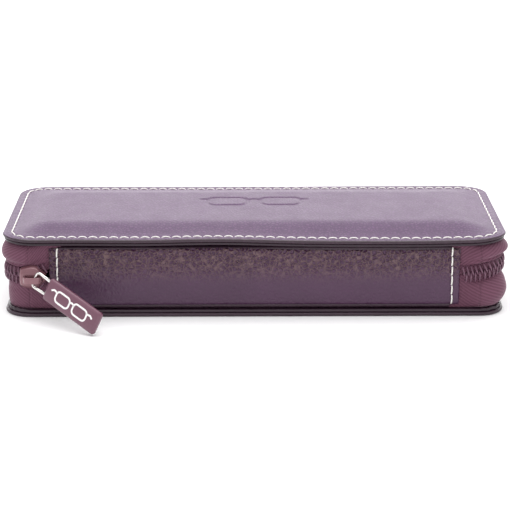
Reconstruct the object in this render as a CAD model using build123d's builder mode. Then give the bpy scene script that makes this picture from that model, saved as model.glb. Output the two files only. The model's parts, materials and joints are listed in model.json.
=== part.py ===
"""A zip-around leather case that keeps slim pairs of glasses apart.

Two padded covers are joined by a leather spine along the front. A coil zip is the wall
of the case on the other three sides. A padded leaf on the spine divides the inside.
Units are millimetres. The origin is the centre of the flat underside, +Z is up, and the
spine faces -Y, so the case opens towards -Y like a book.
"""

from build123d import *

import os
from math import cos, radians, sin

# Covers
case_width = 190.0
case_depth = 72.0
cover_corner = 10.0
leather = 1.4
facing = 1.2
facing_setback = 0.5
facing_width = 9.0
wall_height = 26.0
lid_crown = 2.0
crown_margin = 8.5
crown_skin = 1.0
crown_taper = 40.0
leather_round = 0.6
foam_gap = 0.1

# Wall of zip tape, measured to the outer face of the tape
wall_front_recess = 2.6
wall_side_recess = 1.6
wall_back_recess = 1.4
wall_corner = 8.5
tape = 0.7
tape_foot = 5.0
least_corner = 0.8

# Zip chain
coil_half_height = 3.1
coil_thick = 1.6
chain_border = 4.9
mesh_gap = 0.15
part_gap = 0.15

# Spine
spine_width = 154.4
spine_leather = 1.2
spine_board = 1.0
spine_lining = 0.8
spine_end_gap = 0.3
spine_edge_round = 0.4
spine_edge_to_stitch = 3.0
stitch_to_tape_end = 1.7
tape_to_board = 0.7
pivot_clear = 0.3

# Topstitching
thread = 0.7
thread_inset = 3.2
thread_depth = 0.45
thread_clear = 0.03
spine_stitch_margin = 1.4

# Inside of the covers
board_clear = 0.3
base_foam = 1.4
lining = 0.6
lining_clear = 0.5
lining_inset = 4.5

# Divider leaf
leaf_side_gap = 16.4
leaf_back_gap = 4.3
leaf_corner = 7.0
leaf_board = 1.2
leaf_pad = 1.4
leaf_binding = 2.2
leaf_skin = 0.4
leaf_fit = 0.05
leaf_to_spine = 2.2
tab_thick = 0.8
tab_end_gap = 1.8

# Slider
slider_length = 9.8
mouth_over_coil = 1.5
narrow_over_coil = 1.15
slider_corner = 0.8
slider_round = 0.35
slider_plate = 1.2
slider_lip = 0.9
lip_clear = 0.3
slider_end_gap = 1.2
channel_clear = 0.3
back_gap = 0.8
back_short = 2.4
back_plate = 1.0
post_length = 1.8
post_half_height = 1.2
post_setback = 0.7
post_clear = 0.4
post_root = 0.4
bridge_length = 7.6
bridge_width = 2.2
bridge_shift = 0.2
bridge_round = 1.1
bridge_rise = 3.4
bridge_thick = 1.0
bridge_foot = 1.3
lock_spring = 0.35
lock_spring_width = 1.4

# Pull
wire = 1.3
loop_width = 6.2
loop_bend = 1.4
eye_shift = 1.0
eye_stand = 1.35
loop_reach = 6.6
loop_embed = 2.2
loop_rise = 0.4
pull_out_deg = 37.0
pull_down_deg = 20.5
pull_tilt_deg = 24.0
tag_length = 26.4
tag_width = 9.0
tag_thick = 2.4
tag_corner = 1.2
tag_bevel = 0.55
emblem_lens = 1.9
emblem_line = 0.45
emblem_pitch = 5.6
emblem_thick = 0.15
emblem_arm = 1.6

# Levels, worked out from the sizes above
seam_low = leather + facing
seam_high = seam_low + wall_height
mid = (seam_low + seam_high) / 2
lid_flange = seam_high + facing
lid_edge_top = lid_flange + leather
lid_top = lid_edge_top + lid_crown

# Wall and spine places
wall_front = -case_depth / 2 + wall_front_recess
wall_back = case_depth / 2 - wall_back_recess
wall_half = case_width / 2 - wall_side_recess
wall_mid_y = (wall_front + wall_back) / 2
wall_depth = wall_back - wall_front
spine_face = wall_front - spine_leather
spine_inner = wall_front + spine_board + spine_lining
stitch_x = spine_width / 2 - spine_edge_to_stitch
tape_end_x = stitch_x - stitch_to_tape_end
coil_end_x = spine_width / 2 + part_gap
board_half = tape_end_x - tape_to_board
split_x = wall_half - wall_corner

# Slider sizes and places
slider_half_height = coil_half_height + mouth_over_coil
slider_narrow = coil_half_height + narrow_over_coil
slider_right = -spine_width / 2 - slider_end_gap
slider_mid_x = slider_right - slider_length / 2
plate_inner = wall_front - coil_thick - channel_clear
plate_outer = plate_inner - slider_plate
post_right = slider_right - post_setback


def rounded_ring(width, depth, radius, inset, centre_y=0.0):
    """Draws a rounded outline with the same outline, inset, cut out of it."""
    with Locations((0, centre_y)):
        RectangleRounded(width, depth, radius)
        RectangleRounded(width - 2 * inset, depth - 2 * inset, radius - inset, mode=Mode.SUBTRACT)


def rounded_plate(width, depth, radius, inset, centre_y=0.0):
    """Draws a rounded outline, inset all round."""
    with Locations((0, centre_y)):
        RectangleRounded(width - 2 * inset, depth - 2 * inset, max(radius - inset, least_corner))


def cover_plate(inset):
    """Draws the outline of a cover, inset all round."""
    rounded_plate(case_width, case_depth, cover_corner, inset)


def cover_ring(outer_inset, inner_inset):
    """Draws a band that follows the edge of a cover."""
    cover_plate(outer_inset)
    RectangleRounded(
        case_width - 2 * inner_inset,
        case_depth - 2 * inner_inset,
        max(cover_corner - inner_inset, least_corner),
        mode=Mode.SUBTRACT,
    )


def wall_ring(outward, thick):
    """Draws the plan of a wall whose outer face stands outward of the tape's outer face."""
    rounded_ring(
        2 * (wall_half + outward), wall_depth + 2 * outward, wall_corner + outward, thick, wall_mid_y
    )


def inside_plate(inset):
    """Draws the room inside the wall, inset all round from the inner face of the tape."""
    rounded_plate(2 * (wall_half - tape), wall_depth - 2 * tape, wall_corner - tape, inset, wall_mid_y)


def front_box(low_x, high_x, low_z, high_z, mode):
    """A box across the front wall, to cut it or to keep a stretch of it."""
    with Locations(((low_x + high_x) / 2, wall_front, (low_z + high_z) / 2)):
        Box(high_x - low_x, 4 * tape_foot, high_z - low_z, mode=mode)


def cut_front_stretch():
    """Cuts away the front of a wall, which belongs to the spine."""
    front_box(-split_x - part_gap, split_x + part_gap, 0, lid_top, Mode.SUBTRACT)


def keep_end_stretch(side):
    """Keeps the part of a wall between a corner and the end of the tape behind the spine."""
    low_x, high_x = sorted((side * tape_end_x, side * (split_x - part_gap)))
    front_box(low_x, high_x, 0, lid_top, Mode.INTERSECT)


os.makedirs("parts", exist_ok=True)

# ---------------------------------------------------------------- bottom cover

with BuildPart() as bottom_leather:
    with BuildSketch():
        cover_plate(0)
    extrude(amount=leather)
    fillet(bottom_leather.edges().group_by(Axis.Z)[0], leather_round)
    with BuildSketch():
        cover_ring(thread_inset - thread_clear, thread_inset + thread + thread_clear)
    extrude(amount=thread_depth + thread_clear, mode=Mode.SUBTRACT)
bottom_leather.part.label = "bottom_leather"
export_step(bottom_leather.part, "parts/bottom_leather.step")

with BuildPart() as bottom_topstitch:
    with BuildSketch():
        cover_ring(thread_inset, thread_inset + thread)
    extrude(amount=thread_depth)
bottom_topstitch.part.label = "bottom_topstitch"
export_step(bottom_topstitch.part, "parts/bottom_topstitch.step")

with BuildPart() as bottom_facing:
    with BuildSketch(Plane.XY.offset(leather)):
        cover_ring(facing_setback, facing_width)
    extrude(amount=facing)
bottom_facing.part.label = "bottom_facing"
export_step(bottom_facing.part, "parts/bottom_facing.step")

with BuildPart() as bottom_board:
    with BuildSketch(Plane.XY.offset(leather)):
        cover_plate(facing_width + board_clear)
    extrude(amount=facing)
bottom_board.part.label = "bottom_board"
export_step(bottom_board.part, "parts/bottom_board.step")

with BuildPart() as bottom_foam:
    with BuildSketch(Plane.XY.offset(seam_low)):
        inside_plate(tape_foot + lining_clear)
    extrude(amount=base_foam)
bottom_foam.part.label = "bottom_foam"
export_step(bottom_foam.part, "parts/bottom_foam.step")

with BuildPart() as bottom_lining:
    with BuildSketch(Plane.XY.offset(seam_low + base_foam)):
        inside_plate(lining_inset)
    extrude(amount=lining)
bottom_lining.part.label = "bottom_lining"
export_step(bottom_lining.part, "parts/bottom_lining.step")

# ------------------------------------------------------------------------- lid

with BuildPart() as lid_leather:
    with BuildSketch(Plane.XY.offset(lid_flange)):
        cover_plate(0)
    extrude(amount=leather)
    fillet(lid_leather.edges().group_by(Axis.Z)[-1], leather_round)
    with BuildSketch(Plane.XY.offset(lid_edge_top)):
        cover_ring(thread_inset - thread_clear, thread_inset + thread + thread_clear)
    extrude(amount=-thread_depth - thread_clear, mode=Mode.SUBTRACT)
    with BuildSketch(Plane.XY.offset(lid_edge_top)):
        cover_plate(crown_margin)
    extrude(amount=lid_crown, taper=crown_taper)
    with BuildSketch(Plane.XY.offset(lid_flange)):
        cover_plate(crown_margin + crown_skin)
    extrude(amount=leather + lid_crown - crown_skin, taper=crown_taper, mode=Mode.SUBTRACT)
lid_leather.part.label = "lid_leather"
export_step(lid_leather.part, "parts/lid_leather.step")

with BuildPart() as lid_topstitch:
    with BuildSketch(Plane.XY.offset(lid_edge_top)):
        cover_ring(thread_inset, thread_inset + thread)
    extrude(amount=-thread_depth)
lid_topstitch.part.label = "lid_topstitch"
export_step(lid_topstitch.part, "parts/lid_topstitch.step")

with BuildPart() as lid_facing:
    with BuildSketch(Plane.XY.offset(seam_high)):
        cover_ring(facing_setback, facing_width)
    extrude(amount=facing)
lid_facing.part.label = "lid_facing"
export_step(lid_facing.part, "parts/lid_facing.step")

with BuildPart() as lid_board:
    with BuildSketch(Plane.XY.offset(seam_high)):
        cover_plate(facing_width + board_clear)
    extrude(amount=facing)
lid_board.part.label = "lid_board"
export_step(lid_board.part, "parts/lid_board.step")

with BuildPart() as lid_foam:
    with BuildSketch(Plane.XY.offset(lid_flange)):
        cover_plate(crown_margin + crown_skin + foam_gap)
    extrude(amount=leather + lid_crown - crown_skin - foam_gap, taper=crown_taper)
lid_foam.part.label = "lid_foam"
export_step(lid_foam.part, "parts/lid_foam.step")

with BuildPart() as lid_lining:
    with BuildSketch(Plane.XY.offset(seam_high)):
        inside_plate(tape_foot + lining_clear)
    extrude(amount=-lining)
lid_lining.part.label = "lid_lining"
export_step(lid_lining.part, "parts/lid_lining.step")

# -------------------------------------------------------------------- zip tape

tape_levels = {
    "zip_tape_lower": (seam_low, mid - chain_border, seam_low, tape),
    "zip_tape_upper": (mid + chain_border, seam_high, seam_high, -tape),
}
for tape_name, (low_z, high_z, foot_z, foot_rise) in tape_levels.items():
    with BuildPart() as zip_tape:
        with BuildSketch(Plane.XY.offset(low_z)):
            wall_ring(0, tape)
        extrude(amount=high_z - low_z)
        with BuildSketch(Plane.XY.offset(foot_z)):
            wall_ring(0, tape + tape_foot)
        extrude(amount=foot_rise)
        cut_front_stretch()
    zip_tape.part.label = tape_name
    export_step(zip_tape.part, f"parts/{tape_name}.step")

chain_levels = {
    "zip_chain_lower": (mid - chain_border, mid - mesh_gap, mid - coil_half_height, mid - mesh_gap),
    "zip_chain_upper": (mid + mesh_gap, mid + chain_border, mid + mesh_gap, mid + coil_half_height),
}
for chain_name, (low_z, high_z, coil_low, coil_high) in chain_levels.items():
    with BuildPart() as zip_chain:
        with BuildSketch(Plane.XY.offset(low_z)):
            wall_ring(0, tape)
        extrude(amount=high_z - low_z)
        with BuildSketch(Plane.XY.offset(coil_low)):
            wall_ring(coil_thick, coil_thick)
        extrude(amount=coil_high - coil_low)
        cut_front_stretch()
    zip_chain.part.label = chain_name
    export_step(zip_chain.part, f"parts/{chain_name}.step")

# The ends of the tape and of the chain stay with the spine, which they are sewn behind
for side_name, side in (("left", -1), ("right", 1)):
    with BuildPart() as end_tape:
        for low_z, high_z, foot_z, foot_rise in tape_levels.values():
            with BuildSketch(Plane.XY.offset(low_z + part_gap if foot_rise > 0 else low_z)):
                wall_ring(0, tape)
            extrude(amount=high_z - low_z - part_gap)
        keep_end_stretch(side)
    end_tape.part.label = f"zip_end_tape_{side_name}"
    export_step(end_tape.part, f"parts/zip_end_tape_{side_name}.step")

    with BuildPart() as end_chain:
        for low_z, high_z, coil_low, coil_high in chain_levels.values():
            with BuildSketch(Plane.XY.offset(low_z)):
                wall_ring(0, tape)
            extrude(amount=high_z - low_z)
            with BuildSketch(Plane.XY.offset(coil_low)):
                wall_ring(coil_thick, coil_thick)
            extrude(amount=coil_high - coil_low)
        keep_end_stretch(side)
        with Locations((0, wall_front - coil_thick, mid)):
            Box(2 * coil_end_x, 2 * coil_thick, 2 * chain_border, mode=Mode.SUBTRACT)
        if side < 0:
            parted = post_half_height + post_clear
            front_box(post_right - post_length - post_clear, 0, mid - parted, mid + parted, Mode.SUBTRACT)
    end_chain.part.label = f"zip_end_chain_{side_name}"
    export_step(end_chain.part, f"parts/zip_end_chain_{side_name}.step")

# ----------------------------------------------------------------------- spine

spine_low = seam_low + spine_end_gap
spine_high = seam_high - spine_end_gap
spine_tall = spine_high - spine_low
stitch_low = spine_low + spine_stitch_margin

with BuildPart() as spine_leather_part:
    with BuildSketch(Plane.XY.offset(spine_low)):
        with Locations((0, wall_front - spine_leather / 2)):
            Rectangle(spine_width, spine_leather)
    extrude(amount=spine_tall)
    fillet(spine_leather_part.edges().filter_by(Axis.Z).group_by(Axis.Y)[0], spine_edge_round)
    with BuildSketch(Plane.XY.offset(stitch_low - thread_clear)):
        with Locations((-stitch_x, spine_face), (stitch_x, spine_face)):
            Rectangle(thread + 2 * thread_clear, 2 * (thread_depth + thread_clear))
    extrude(amount=spine_tall - 2 * spine_stitch_margin + 2 * thread_clear, mode=Mode.SUBTRACT)
spine_leather_part.part.label = "spine_leather"
export_step(spine_leather_part.part, "parts/spine_leather.step")

for side_name, side in (("left", -1), ("right", 1)):
    with BuildPart() as spine_stitch:
        with BuildSketch(Plane.XY.offset(stitch_low)):
            with Locations((side * stitch_x, spine_face + thread_depth / 2)):
                Rectangle(thread, thread_depth)
        extrude(amount=spine_tall - 2 * spine_stitch_margin)
    spine_stitch.part.label = f"spine_stitch_{side_name}"
    export_step(spine_stitch.part, f"parts/spine_stitch_{side_name}.step")

with BuildPart() as spine_stiffener:
    with BuildSketch(Plane.XY.offset(spine_low)):
        with Locations((0, wall_front + spine_board / 2)):
            Rectangle(2 * board_half, spine_board)
    extrude(amount=spine_tall)
spine_stiffener.part.label = "spine_board"
export_step(spine_stiffener.part, "parts/spine_board.step")

with BuildPart() as spine_lining_part:
    with BuildSketch(Plane.XY.offset(spine_low)):
        with Locations((0, wall_front + spine_board + spine_lining / 2)):
            Rectangle(2 * board_half, spine_lining)
    extrude(amount=spine_tall)
spine_lining_part.part.label = "spine_lining"
export_step(spine_lining_part.part, "parts/spine_lining.step")

# ---------------------------------------------------------------- divider leaf

leaf_pivot_y = spine_inner + pivot_clear + tab_thick / 2
leaf_front = leaf_pivot_y + leaf_to_spine
leaf_back = wall_back - leaf_back_gap
leaf_width = 2 * (wall_half - leaf_side_gap)
leaf_depth = leaf_back - leaf_front
leaf_mid_y = (leaf_front + leaf_back) / 2
tab_width = 2 * (board_half - tab_end_gap)
leaf_core = leaf_board + 2 * leaf_pad


def leaf_plate(inset):
    """Draws the outline of the divider leaf, inset all round."""
    rounded_plate(leaf_width, leaf_depth, leaf_corner, inset, leaf_mid_y)


with BuildPart() as divider_board:
    with BuildSketch(Plane.XY.offset(mid - leaf_board / 2)):
        leaf_plate(leaf_skin + leaf_fit)
    extrude(amount=leaf_board)
divider_board.part.label = "divider_board"
export_step(divider_board.part, "parts/divider_board.step")

for pad_name, pad_z in (("lower", mid - leaf_board / 2 - leaf_pad), ("upper", mid + leaf_board / 2)):
    with BuildPart() as divider_pad:
        with BuildSketch(Plane.XY.offset(pad_z)):
            leaf_plate(leaf_skin + leaf_fit)
        extrude(amount=leaf_pad)
    divider_pad.part.label = f"divider_pad_{pad_name}"
    export_step(divider_pad.part, f"parts/divider_pad_{pad_name}.step")

with BuildPart() as divider_binding:
    with BuildSketch(Plane.XY.offset(mid - leaf_core / 2 - leaf_skin - leaf_fit)):
        leaf_plate(0)
        with Locations((0, leaf_mid_y)):
            RectangleRounded(
                leaf_width - 2 * leaf_binding,
                leaf_depth - 2 * leaf_binding,
                leaf_corner - leaf_binding,
                mode=Mode.SUBTRACT,
            )
    extrude(amount=leaf_core + 2 * (leaf_skin + leaf_fit))
    with BuildSketch(Plane.XY.offset(mid - leaf_core / 2 - leaf_fit)):
        leaf_plate(leaf_skin)
    extrude(amount=leaf_core + 2 * leaf_fit, mode=Mode.SUBTRACT)
divider_binding.part.label = "divider_binding"
export_step(divider_binding.part, "parts/divider_binding.step")

with BuildPart() as divider_hinge_tab:
    with BuildSketch(Plane.YZ.offset(-tab_width / 2)):
        with Locations((leaf_pivot_y, mid)):
            Circle(tab_thick / 2)
        with Locations(((leaf_pivot_y + leaf_front) / 2, mid)):
            Rectangle(leaf_to_spine, tab_thick)
    extrude(amount=tab_width)
divider_hinge_tab.part.label = "divider_hinge_tab"
export_step(divider_hinge_tab.part, "parts/divider_hinge_tab.step")

# ---------------------------------------------------------------------- slider


def slider_outline(short, inset):
    """Draws the slider's plate, narrow at the closed chain and wide at its mouth."""
    left = slider_right - slider_length + short
    narrow = slider_narrow - inset
    wide = slider_half_height - inset
    Polygon(
        (left, mid - narrow),
        (slider_mid_x, mid - wide),
        (slider_right, mid - wide),
        (slider_right, mid + wide),
        (slider_mid_x, mid + wide),
        (left, mid + narrow),
        align=None,
    )


with BuildPart() as slider_body:
    with BuildSketch(Plane.XZ.offset(-(wall_front - lip_clear))):
        slider_outline(0, 0)
    extrude(amount=coil_thick + channel_clear - lip_clear + slider_plate)
    fillet(slider_body.edges().filter_by(Axis.Y), slider_corner)
    fillet(slider_body.faces().sort_by(Axis.Y)[0].edges(), slider_round)
    with BuildSketch(Plane.XZ.offset(-wall_front)):
        Polygon(
            (slider_right - 2 * slider_length, mid - slider_narrow + slider_lip),
            (slider_right - slider_length, mid - slider_narrow + slider_lip),
            (slider_mid_x, mid - slider_half_height + slider_lip),
            (slider_right + slider_length, mid - slider_half_height + slider_lip),
            (slider_right + slider_length, mid + slider_half_height - slider_lip),
            (slider_mid_x, mid + slider_half_height - slider_lip),
            (slider_right - slider_length, mid + slider_narrow - slider_lip),
            (slider_right - 2 * slider_length, mid + slider_narrow - slider_lip),
            align=None,
        )
    extrude(amount=coil_thick + channel_clear, mode=Mode.SUBTRACT)
    with BuildSketch(Plane.XZ.offset(-(wall_front + tape + back_gap + back_plate))):
        slider_outline(back_short, 0)
    extrude(amount=back_plate)
    with Locations((post_right - post_length / 2, (plate_inner + wall_front + tape + back_gap) / 2, mid)):
        Box(
            post_length,
            wall_front + tape + back_gap - plate_inner + 2 * post_root,
            2 * post_half_height,
        )
slider_body.part.label = "slider_body"
export_step(slider_body.part, "parts/slider_body.step")

bridge_mid_x = slider_mid_x + bridge_shift
with BuildPart() as slider_bridge:
    with BuildSketch(Plane.XY.offset(mid - bridge_width / 2)):
        with Locations((bridge_mid_x, plate_outer - bridge_rise / 2)):
            Rectangle(bridge_length, bridge_rise)
        fillet(vertices().group_by(Axis.Y)[0], bridge_round)
        with Locations((bridge_mid_x, plate_outer - (bridge_rise - bridge_thick) / 2)):
            Rectangle(bridge_length - 2 * bridge_foot, bridge_rise - bridge_thick, mode=Mode.SUBTRACT)
    extrude(amount=bridge_width)
slider_bridge.part.label = "slider_bridge"
export_step(slider_bridge.part, "parts/slider_bridge.step")

with BuildPart() as slider_lock_spring:
    with Locations((bridge_mid_x, plate_outer - lock_spring / 2, mid)):
        Box(bridge_length - 2 * bridge_foot - 2 * pivot_clear, lock_spring, lock_spring_width)
slider_lock_spring.part.label = "slider_lock_spring"
export_step(slider_lock_spring.part, "parts/slider_lock_spring.step")

# ------------------------------------------------------------------------ pull

out_share = sin(radians(pull_out_deg)) * cos(radians(pull_down_deg))
along_share = cos(radians(pull_out_deg)) * cos(radians(pull_down_deg))
pull_way = Vector(along_share, -out_share, -sin(radians(pull_down_deg)))
bar_guess = Vector(sin(radians(pull_tilt_deg)), 0, cos(radians(pull_tilt_deg)))
bar_way = (bar_guess - pull_way * bar_guess.dot(pull_way)).normalized()
pull_eye = Vector(bridge_mid_x + eye_shift, plate_outer - eye_stand, mid + loop_rise)
pull_plane = Plane(origin=pull_eye, x_dir=pull_way, z_dir=pull_way.cross(bar_way))

with BuildPart() as pull_loop:
    with BuildLine(pull_plane):
        FilletPolyline(
            (loop_reach + loop_embed, loop_width / 2),
            (0, loop_width / 2),
            (0, -loop_width / 2),
            (loop_reach + loop_embed, -loop_width / 2),
            radius=loop_bend,
        )
    with BuildSketch(Plane(pull_plane.from_local_coords((loop_reach + loop_embed, loop_width / 2, 0)),
                           x_dir=pull_plane.z_dir, z_dir=-pull_way)):
        Circle(wire / 2)
    sweep()
pull_loop.part.label = "pull_loop"
export_step(pull_loop.part, "parts/pull_loop.step")

with BuildPart() as pull_tag:
    with BuildSketch(pull_plane.offset(-tag_thick / 2)):
        with Locations((loop_reach + tag_length / 2, 0)):
            RectangleRounded(tag_length, tag_width, tag_corner)
    extrude(amount=tag_thick)
    chamfer(pull_tag.faces().sort_by(SortBy.AREA)[-2:].edges(), tag_bevel)
    with BuildSketch(Plane(pull_plane.from_local_coords((loop_reach, 0, 0)),
                           x_dir=pull_plane.z_dir, z_dir=pull_way)):
        with Locations((0, loop_width / 2), (0, -loop_width / 2)):
            Circle(wire / 2 + thread_clear)
    extrude(amount=loop_embed + thread_clear, mode=Mode.SUBTRACT)
pull_tag.part.label = "pull_tag"
export_step(pull_tag.part, "parts/pull_tag.step")

with BuildPart() as tag_emblem:
    with BuildSketch(pull_plane.offset(tag_thick / 2)):
        lens_x = loop_reach + tag_length / 2
        with Locations((lens_x - emblem_pitch / 2, 0), (lens_x + emblem_pitch / 2, 0)):
            Circle(emblem_lens)
        with Locations((lens_x, 0)):
            Rectangle(emblem_pitch + 2 * emblem_lens + 2 * emblem_arm, emblem_line)
        with Locations((lens_x - emblem_pitch / 2, 0), (lens_x + emblem_pitch / 2, 0)):
            Circle(emblem_lens - emblem_line, mode=Mode.SUBTRACT)
    extrude(amount=emblem_thick)
tag_emblem.part.label = "tag_emblem"
export_step(tag_emblem.part, "parts/tag_emblem.step")
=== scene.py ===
"""A zip-around leather case for slim pairs of glasses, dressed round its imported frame.

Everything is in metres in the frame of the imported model: the origin is the centre of the flat
underside, +Z is up, the spine faces -Y, and the case opens towards -Y like a book.
"""

import json
import logging
import math
from dataclasses import dataclass
from enum import Enum
from typing import Callable, Sequence

import bmesh
import bpy
import numpy as np
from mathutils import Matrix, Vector


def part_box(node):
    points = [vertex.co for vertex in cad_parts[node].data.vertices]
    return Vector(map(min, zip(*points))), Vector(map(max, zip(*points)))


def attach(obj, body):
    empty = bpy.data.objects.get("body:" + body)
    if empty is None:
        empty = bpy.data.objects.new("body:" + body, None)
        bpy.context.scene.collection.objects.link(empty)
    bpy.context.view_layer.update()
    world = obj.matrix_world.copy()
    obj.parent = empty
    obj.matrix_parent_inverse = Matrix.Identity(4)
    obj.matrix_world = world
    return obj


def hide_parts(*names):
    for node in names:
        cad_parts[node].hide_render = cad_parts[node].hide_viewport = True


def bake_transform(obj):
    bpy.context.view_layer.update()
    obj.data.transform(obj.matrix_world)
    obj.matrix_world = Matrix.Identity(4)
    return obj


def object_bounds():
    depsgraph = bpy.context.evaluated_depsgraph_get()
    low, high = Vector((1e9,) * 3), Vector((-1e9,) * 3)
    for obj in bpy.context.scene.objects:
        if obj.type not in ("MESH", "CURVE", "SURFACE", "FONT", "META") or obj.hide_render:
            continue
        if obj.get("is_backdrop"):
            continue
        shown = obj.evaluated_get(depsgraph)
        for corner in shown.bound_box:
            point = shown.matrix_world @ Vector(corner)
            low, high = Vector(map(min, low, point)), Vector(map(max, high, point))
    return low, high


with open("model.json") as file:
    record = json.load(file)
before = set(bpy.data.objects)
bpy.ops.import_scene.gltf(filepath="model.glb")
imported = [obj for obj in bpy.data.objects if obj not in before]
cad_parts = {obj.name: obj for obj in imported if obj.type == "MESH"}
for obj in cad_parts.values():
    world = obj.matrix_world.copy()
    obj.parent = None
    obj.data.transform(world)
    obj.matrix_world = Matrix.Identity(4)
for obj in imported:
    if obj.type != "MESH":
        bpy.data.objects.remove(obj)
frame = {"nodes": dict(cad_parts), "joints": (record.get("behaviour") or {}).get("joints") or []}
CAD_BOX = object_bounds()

LOG = logging.getLogger("glasses_case")
MM = 0.001
CLOSED_GAP = 0.004 * MM  # what the innermost ring of a face leaves open before its points merge

Array = np.ndarray
Colour = tuple[float, float, float]
Piece = bpy.types.Object
Material = bpy.types.Material
Socket = bpy.types.NodeSocket


# ---------------- small mathematics


def smooth(edge0: float, edge1: float, value: Array | float) -> Array:
    """Rises smoothly from 0 at edge0 to 1 at edge1.

    Args:
        edge0: Where the rise starts.
        edge1: Where the rise ends; it may be below edge0, which makes a fall.
        value: Where the curve is read.

    Returns:
        The height of the curve, from 0 to 1.
    """
    share = np.clip((np.asarray(value, float) - edge0) / (edge1 - edge0), 0.0, 1.0)
    return share * share * (3.0 - 2.0 * share)


def bump(centre: float, width: float, value: Array | float) -> Array:
    """A smooth hill of height 1 about a centre, nearly flat two widths away."""
    return np.exp(-(((np.asarray(value, float) - centre) / width) ** 2))


@dataclass(frozen=True)
class RoundedPath:
    """A rounded rectangle in plan, walked from the middle of its front, to the right first.

    Attributes:
        half_x: Half its length along X.
        half_y: Half its depth along Y.
        radius: The radius of its corners.
        centre_y: The place of its middle along Y.
    """

    half_x: float
    half_y: float
    radius: float
    centre_y: float = 0.0

    @property
    def straight_x(self) -> float:
        """Half the straight length of the front and of the back."""
        return self.half_x - self.radius

    @property
    def straight_y(self) -> float:
        """Half the straight length of each side."""
        return self.half_y - self.radius

    @property
    def corner(self) -> float:
        """The length of one corner's arc."""
        return self.radius * math.pi / 2

    @property
    def length(self) -> float:
        """The length all the way round."""
        return 4 * (self.straight_x + self.straight_y + self.corner)

    @property
    def stops(self) -> Array:
        """The distances at which the nine stretches of the path start, and where the last ends."""
        a, b, c = self.straight_x, self.straight_y, self.corner
        return np.cumsum([0, a, c, 2 * b, c, 2 * a, c, 2 * b, c, a])

    @classmethod
    def within(cls, low: Vector, high: Vector, radius: float) -> "RoundedPath":
        """The path round a box that is even about the middle of the case's length."""
        return cls(high.x, (high.y - low.y) / 2, radius, (high.y + low.y) / 2)

    def walk(self, along: Array) -> tuple[Array, Array]:
        """Finds which stretch of the path each distance falls on.

        Args:
            along: Distances from the middle of the front.

        Returns:
            The number of the stretch, and the share of it walked.
        """
        along, stops = np.mod(np.asarray(along, float), self.length), self.stops
        stretch = np.clip(np.searchsorted(stops, along, side="right") - 1, 0, 8)
        return stretch, (along - stops[stretch]) / (stops[stretch + 1] - stops[stretch])

    def place(self, stretch: Array, share: Array, inset: float = 0.0) -> tuple[Array, Array]:
        """Places points on the path, or on the same path drawn in by an inset.

        Args:
            stretch: The number of the stretch that each point is on.
            share: The share of the stretch before each point.
            inset: How far inside the path the points lie; below 0 they lie outside it.

        Returns:
            The points in plan and the outward directions there, two columns each.
        """
        radius = max(self.radius - inset, 1e-6)
        a = max(self.half_x - inset - radius, 0.0)
        b = max(self.half_y - inset - radius, 0.0)
        angle = np.zeros(stretch.shape)
        centre = np.zeros(stretch.shape + (2,))
        starts = [(0, -b), (a, -b), (a, -b), (a, b), (a, b), (-a, b), (-a, b), (-a, -b), (-a, -b)]
        ends = [(a, -b), (a, -b), (a, b), (a, b), (-a, b), (-a, b), (-a, -b), (-a, -b), (0, -b)]
        turns = [-90, -90, 0, 0, 90, 90, 180, 180, 270]
        for number, (start, end, turn) in enumerate(zip(starts, ends, turns)):
            on = stretch == number
            part = share[on][:, None]
            centre[on] = np.array(start) * (1 - part) + np.array(end) * part
            angle[on] = turn + (90 * share[on] if number % 2 else 0)
        angle = np.radians(angle)
        outward = np.stack([np.cos(angle), np.sin(angle)], axis=-1)
        points = centre + outward * radius
        points[:, 1] += self.centre_y
        return points, outward

    def measure(self, stretch: Array, share: Array) -> Array:
        """The distance from the middle of the front to points given by stretch and share."""
        stops = self.stops
        return stops[stretch] + share * (stops[stretch + 1] - stops[stretch])

    def drawn_in(self, inset: float) -> "RoundedPath":
        """The path of the same shape that lies an inset inside this one."""
        return RoundedPath(self.half_x - inset, self.half_y - inset, self.radius - inset, self.centre_y)

    def at(self, along: Array, inset: float = 0.0) -> tuple[Array, Array]:
        """Points and outward directions at distances along the path."""
        stretch, share = self.walk(np.atleast_1d(along))
        return self.place(stretch, share, inset)

    def loop(self, samples: int, inset: float, height: float) -> Array:
        """A closed ring of evenly walked points, drawn in by an inset, at one height."""
        points, _ = self.at(np.arange(samples) * self.length / samples, inset)
        return np.column_stack([points, np.full(samples, height)])


# ---------------- making meshes


def new_object(name: str, mesh: bpy.types.Mesh) -> Piece:
    """Puts a mesh into the scene as an object at the origin."""
    piece = bpy.data.objects.new(name, mesh)
    bpy.context.scene.collection.objects.link(piece)
    return piece


def finish_mesh(piece: Piece, material: Material, merge: float = 0.0) -> None:
    """Closes a mesh, turns its faces outwards, smooths it and gives it a material.

    Args:
        piece: The object whose mesh is finished.
        material: The finish it gets.
        merge: Points nearer than this become one; 0 leaves every point.
    """
    work = bmesh.new()
    work.from_mesh(piece.data)
    if merge > 0:
        bmesh.ops.remove_doubles(work, verts=work.verts[:], dist=merge)
        bmesh.ops.dissolve_degenerate(work, edges=work.edges[:], dist=merge)
    bmesh.ops.recalc_face_normals(work, faces=work.faces[:])
    work.to_mesh(piece.data)
    work.free()
    piece.data.shade_smooth()
    piece.data.materials.clear()
    piece.data.materials.append(material)


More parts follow.
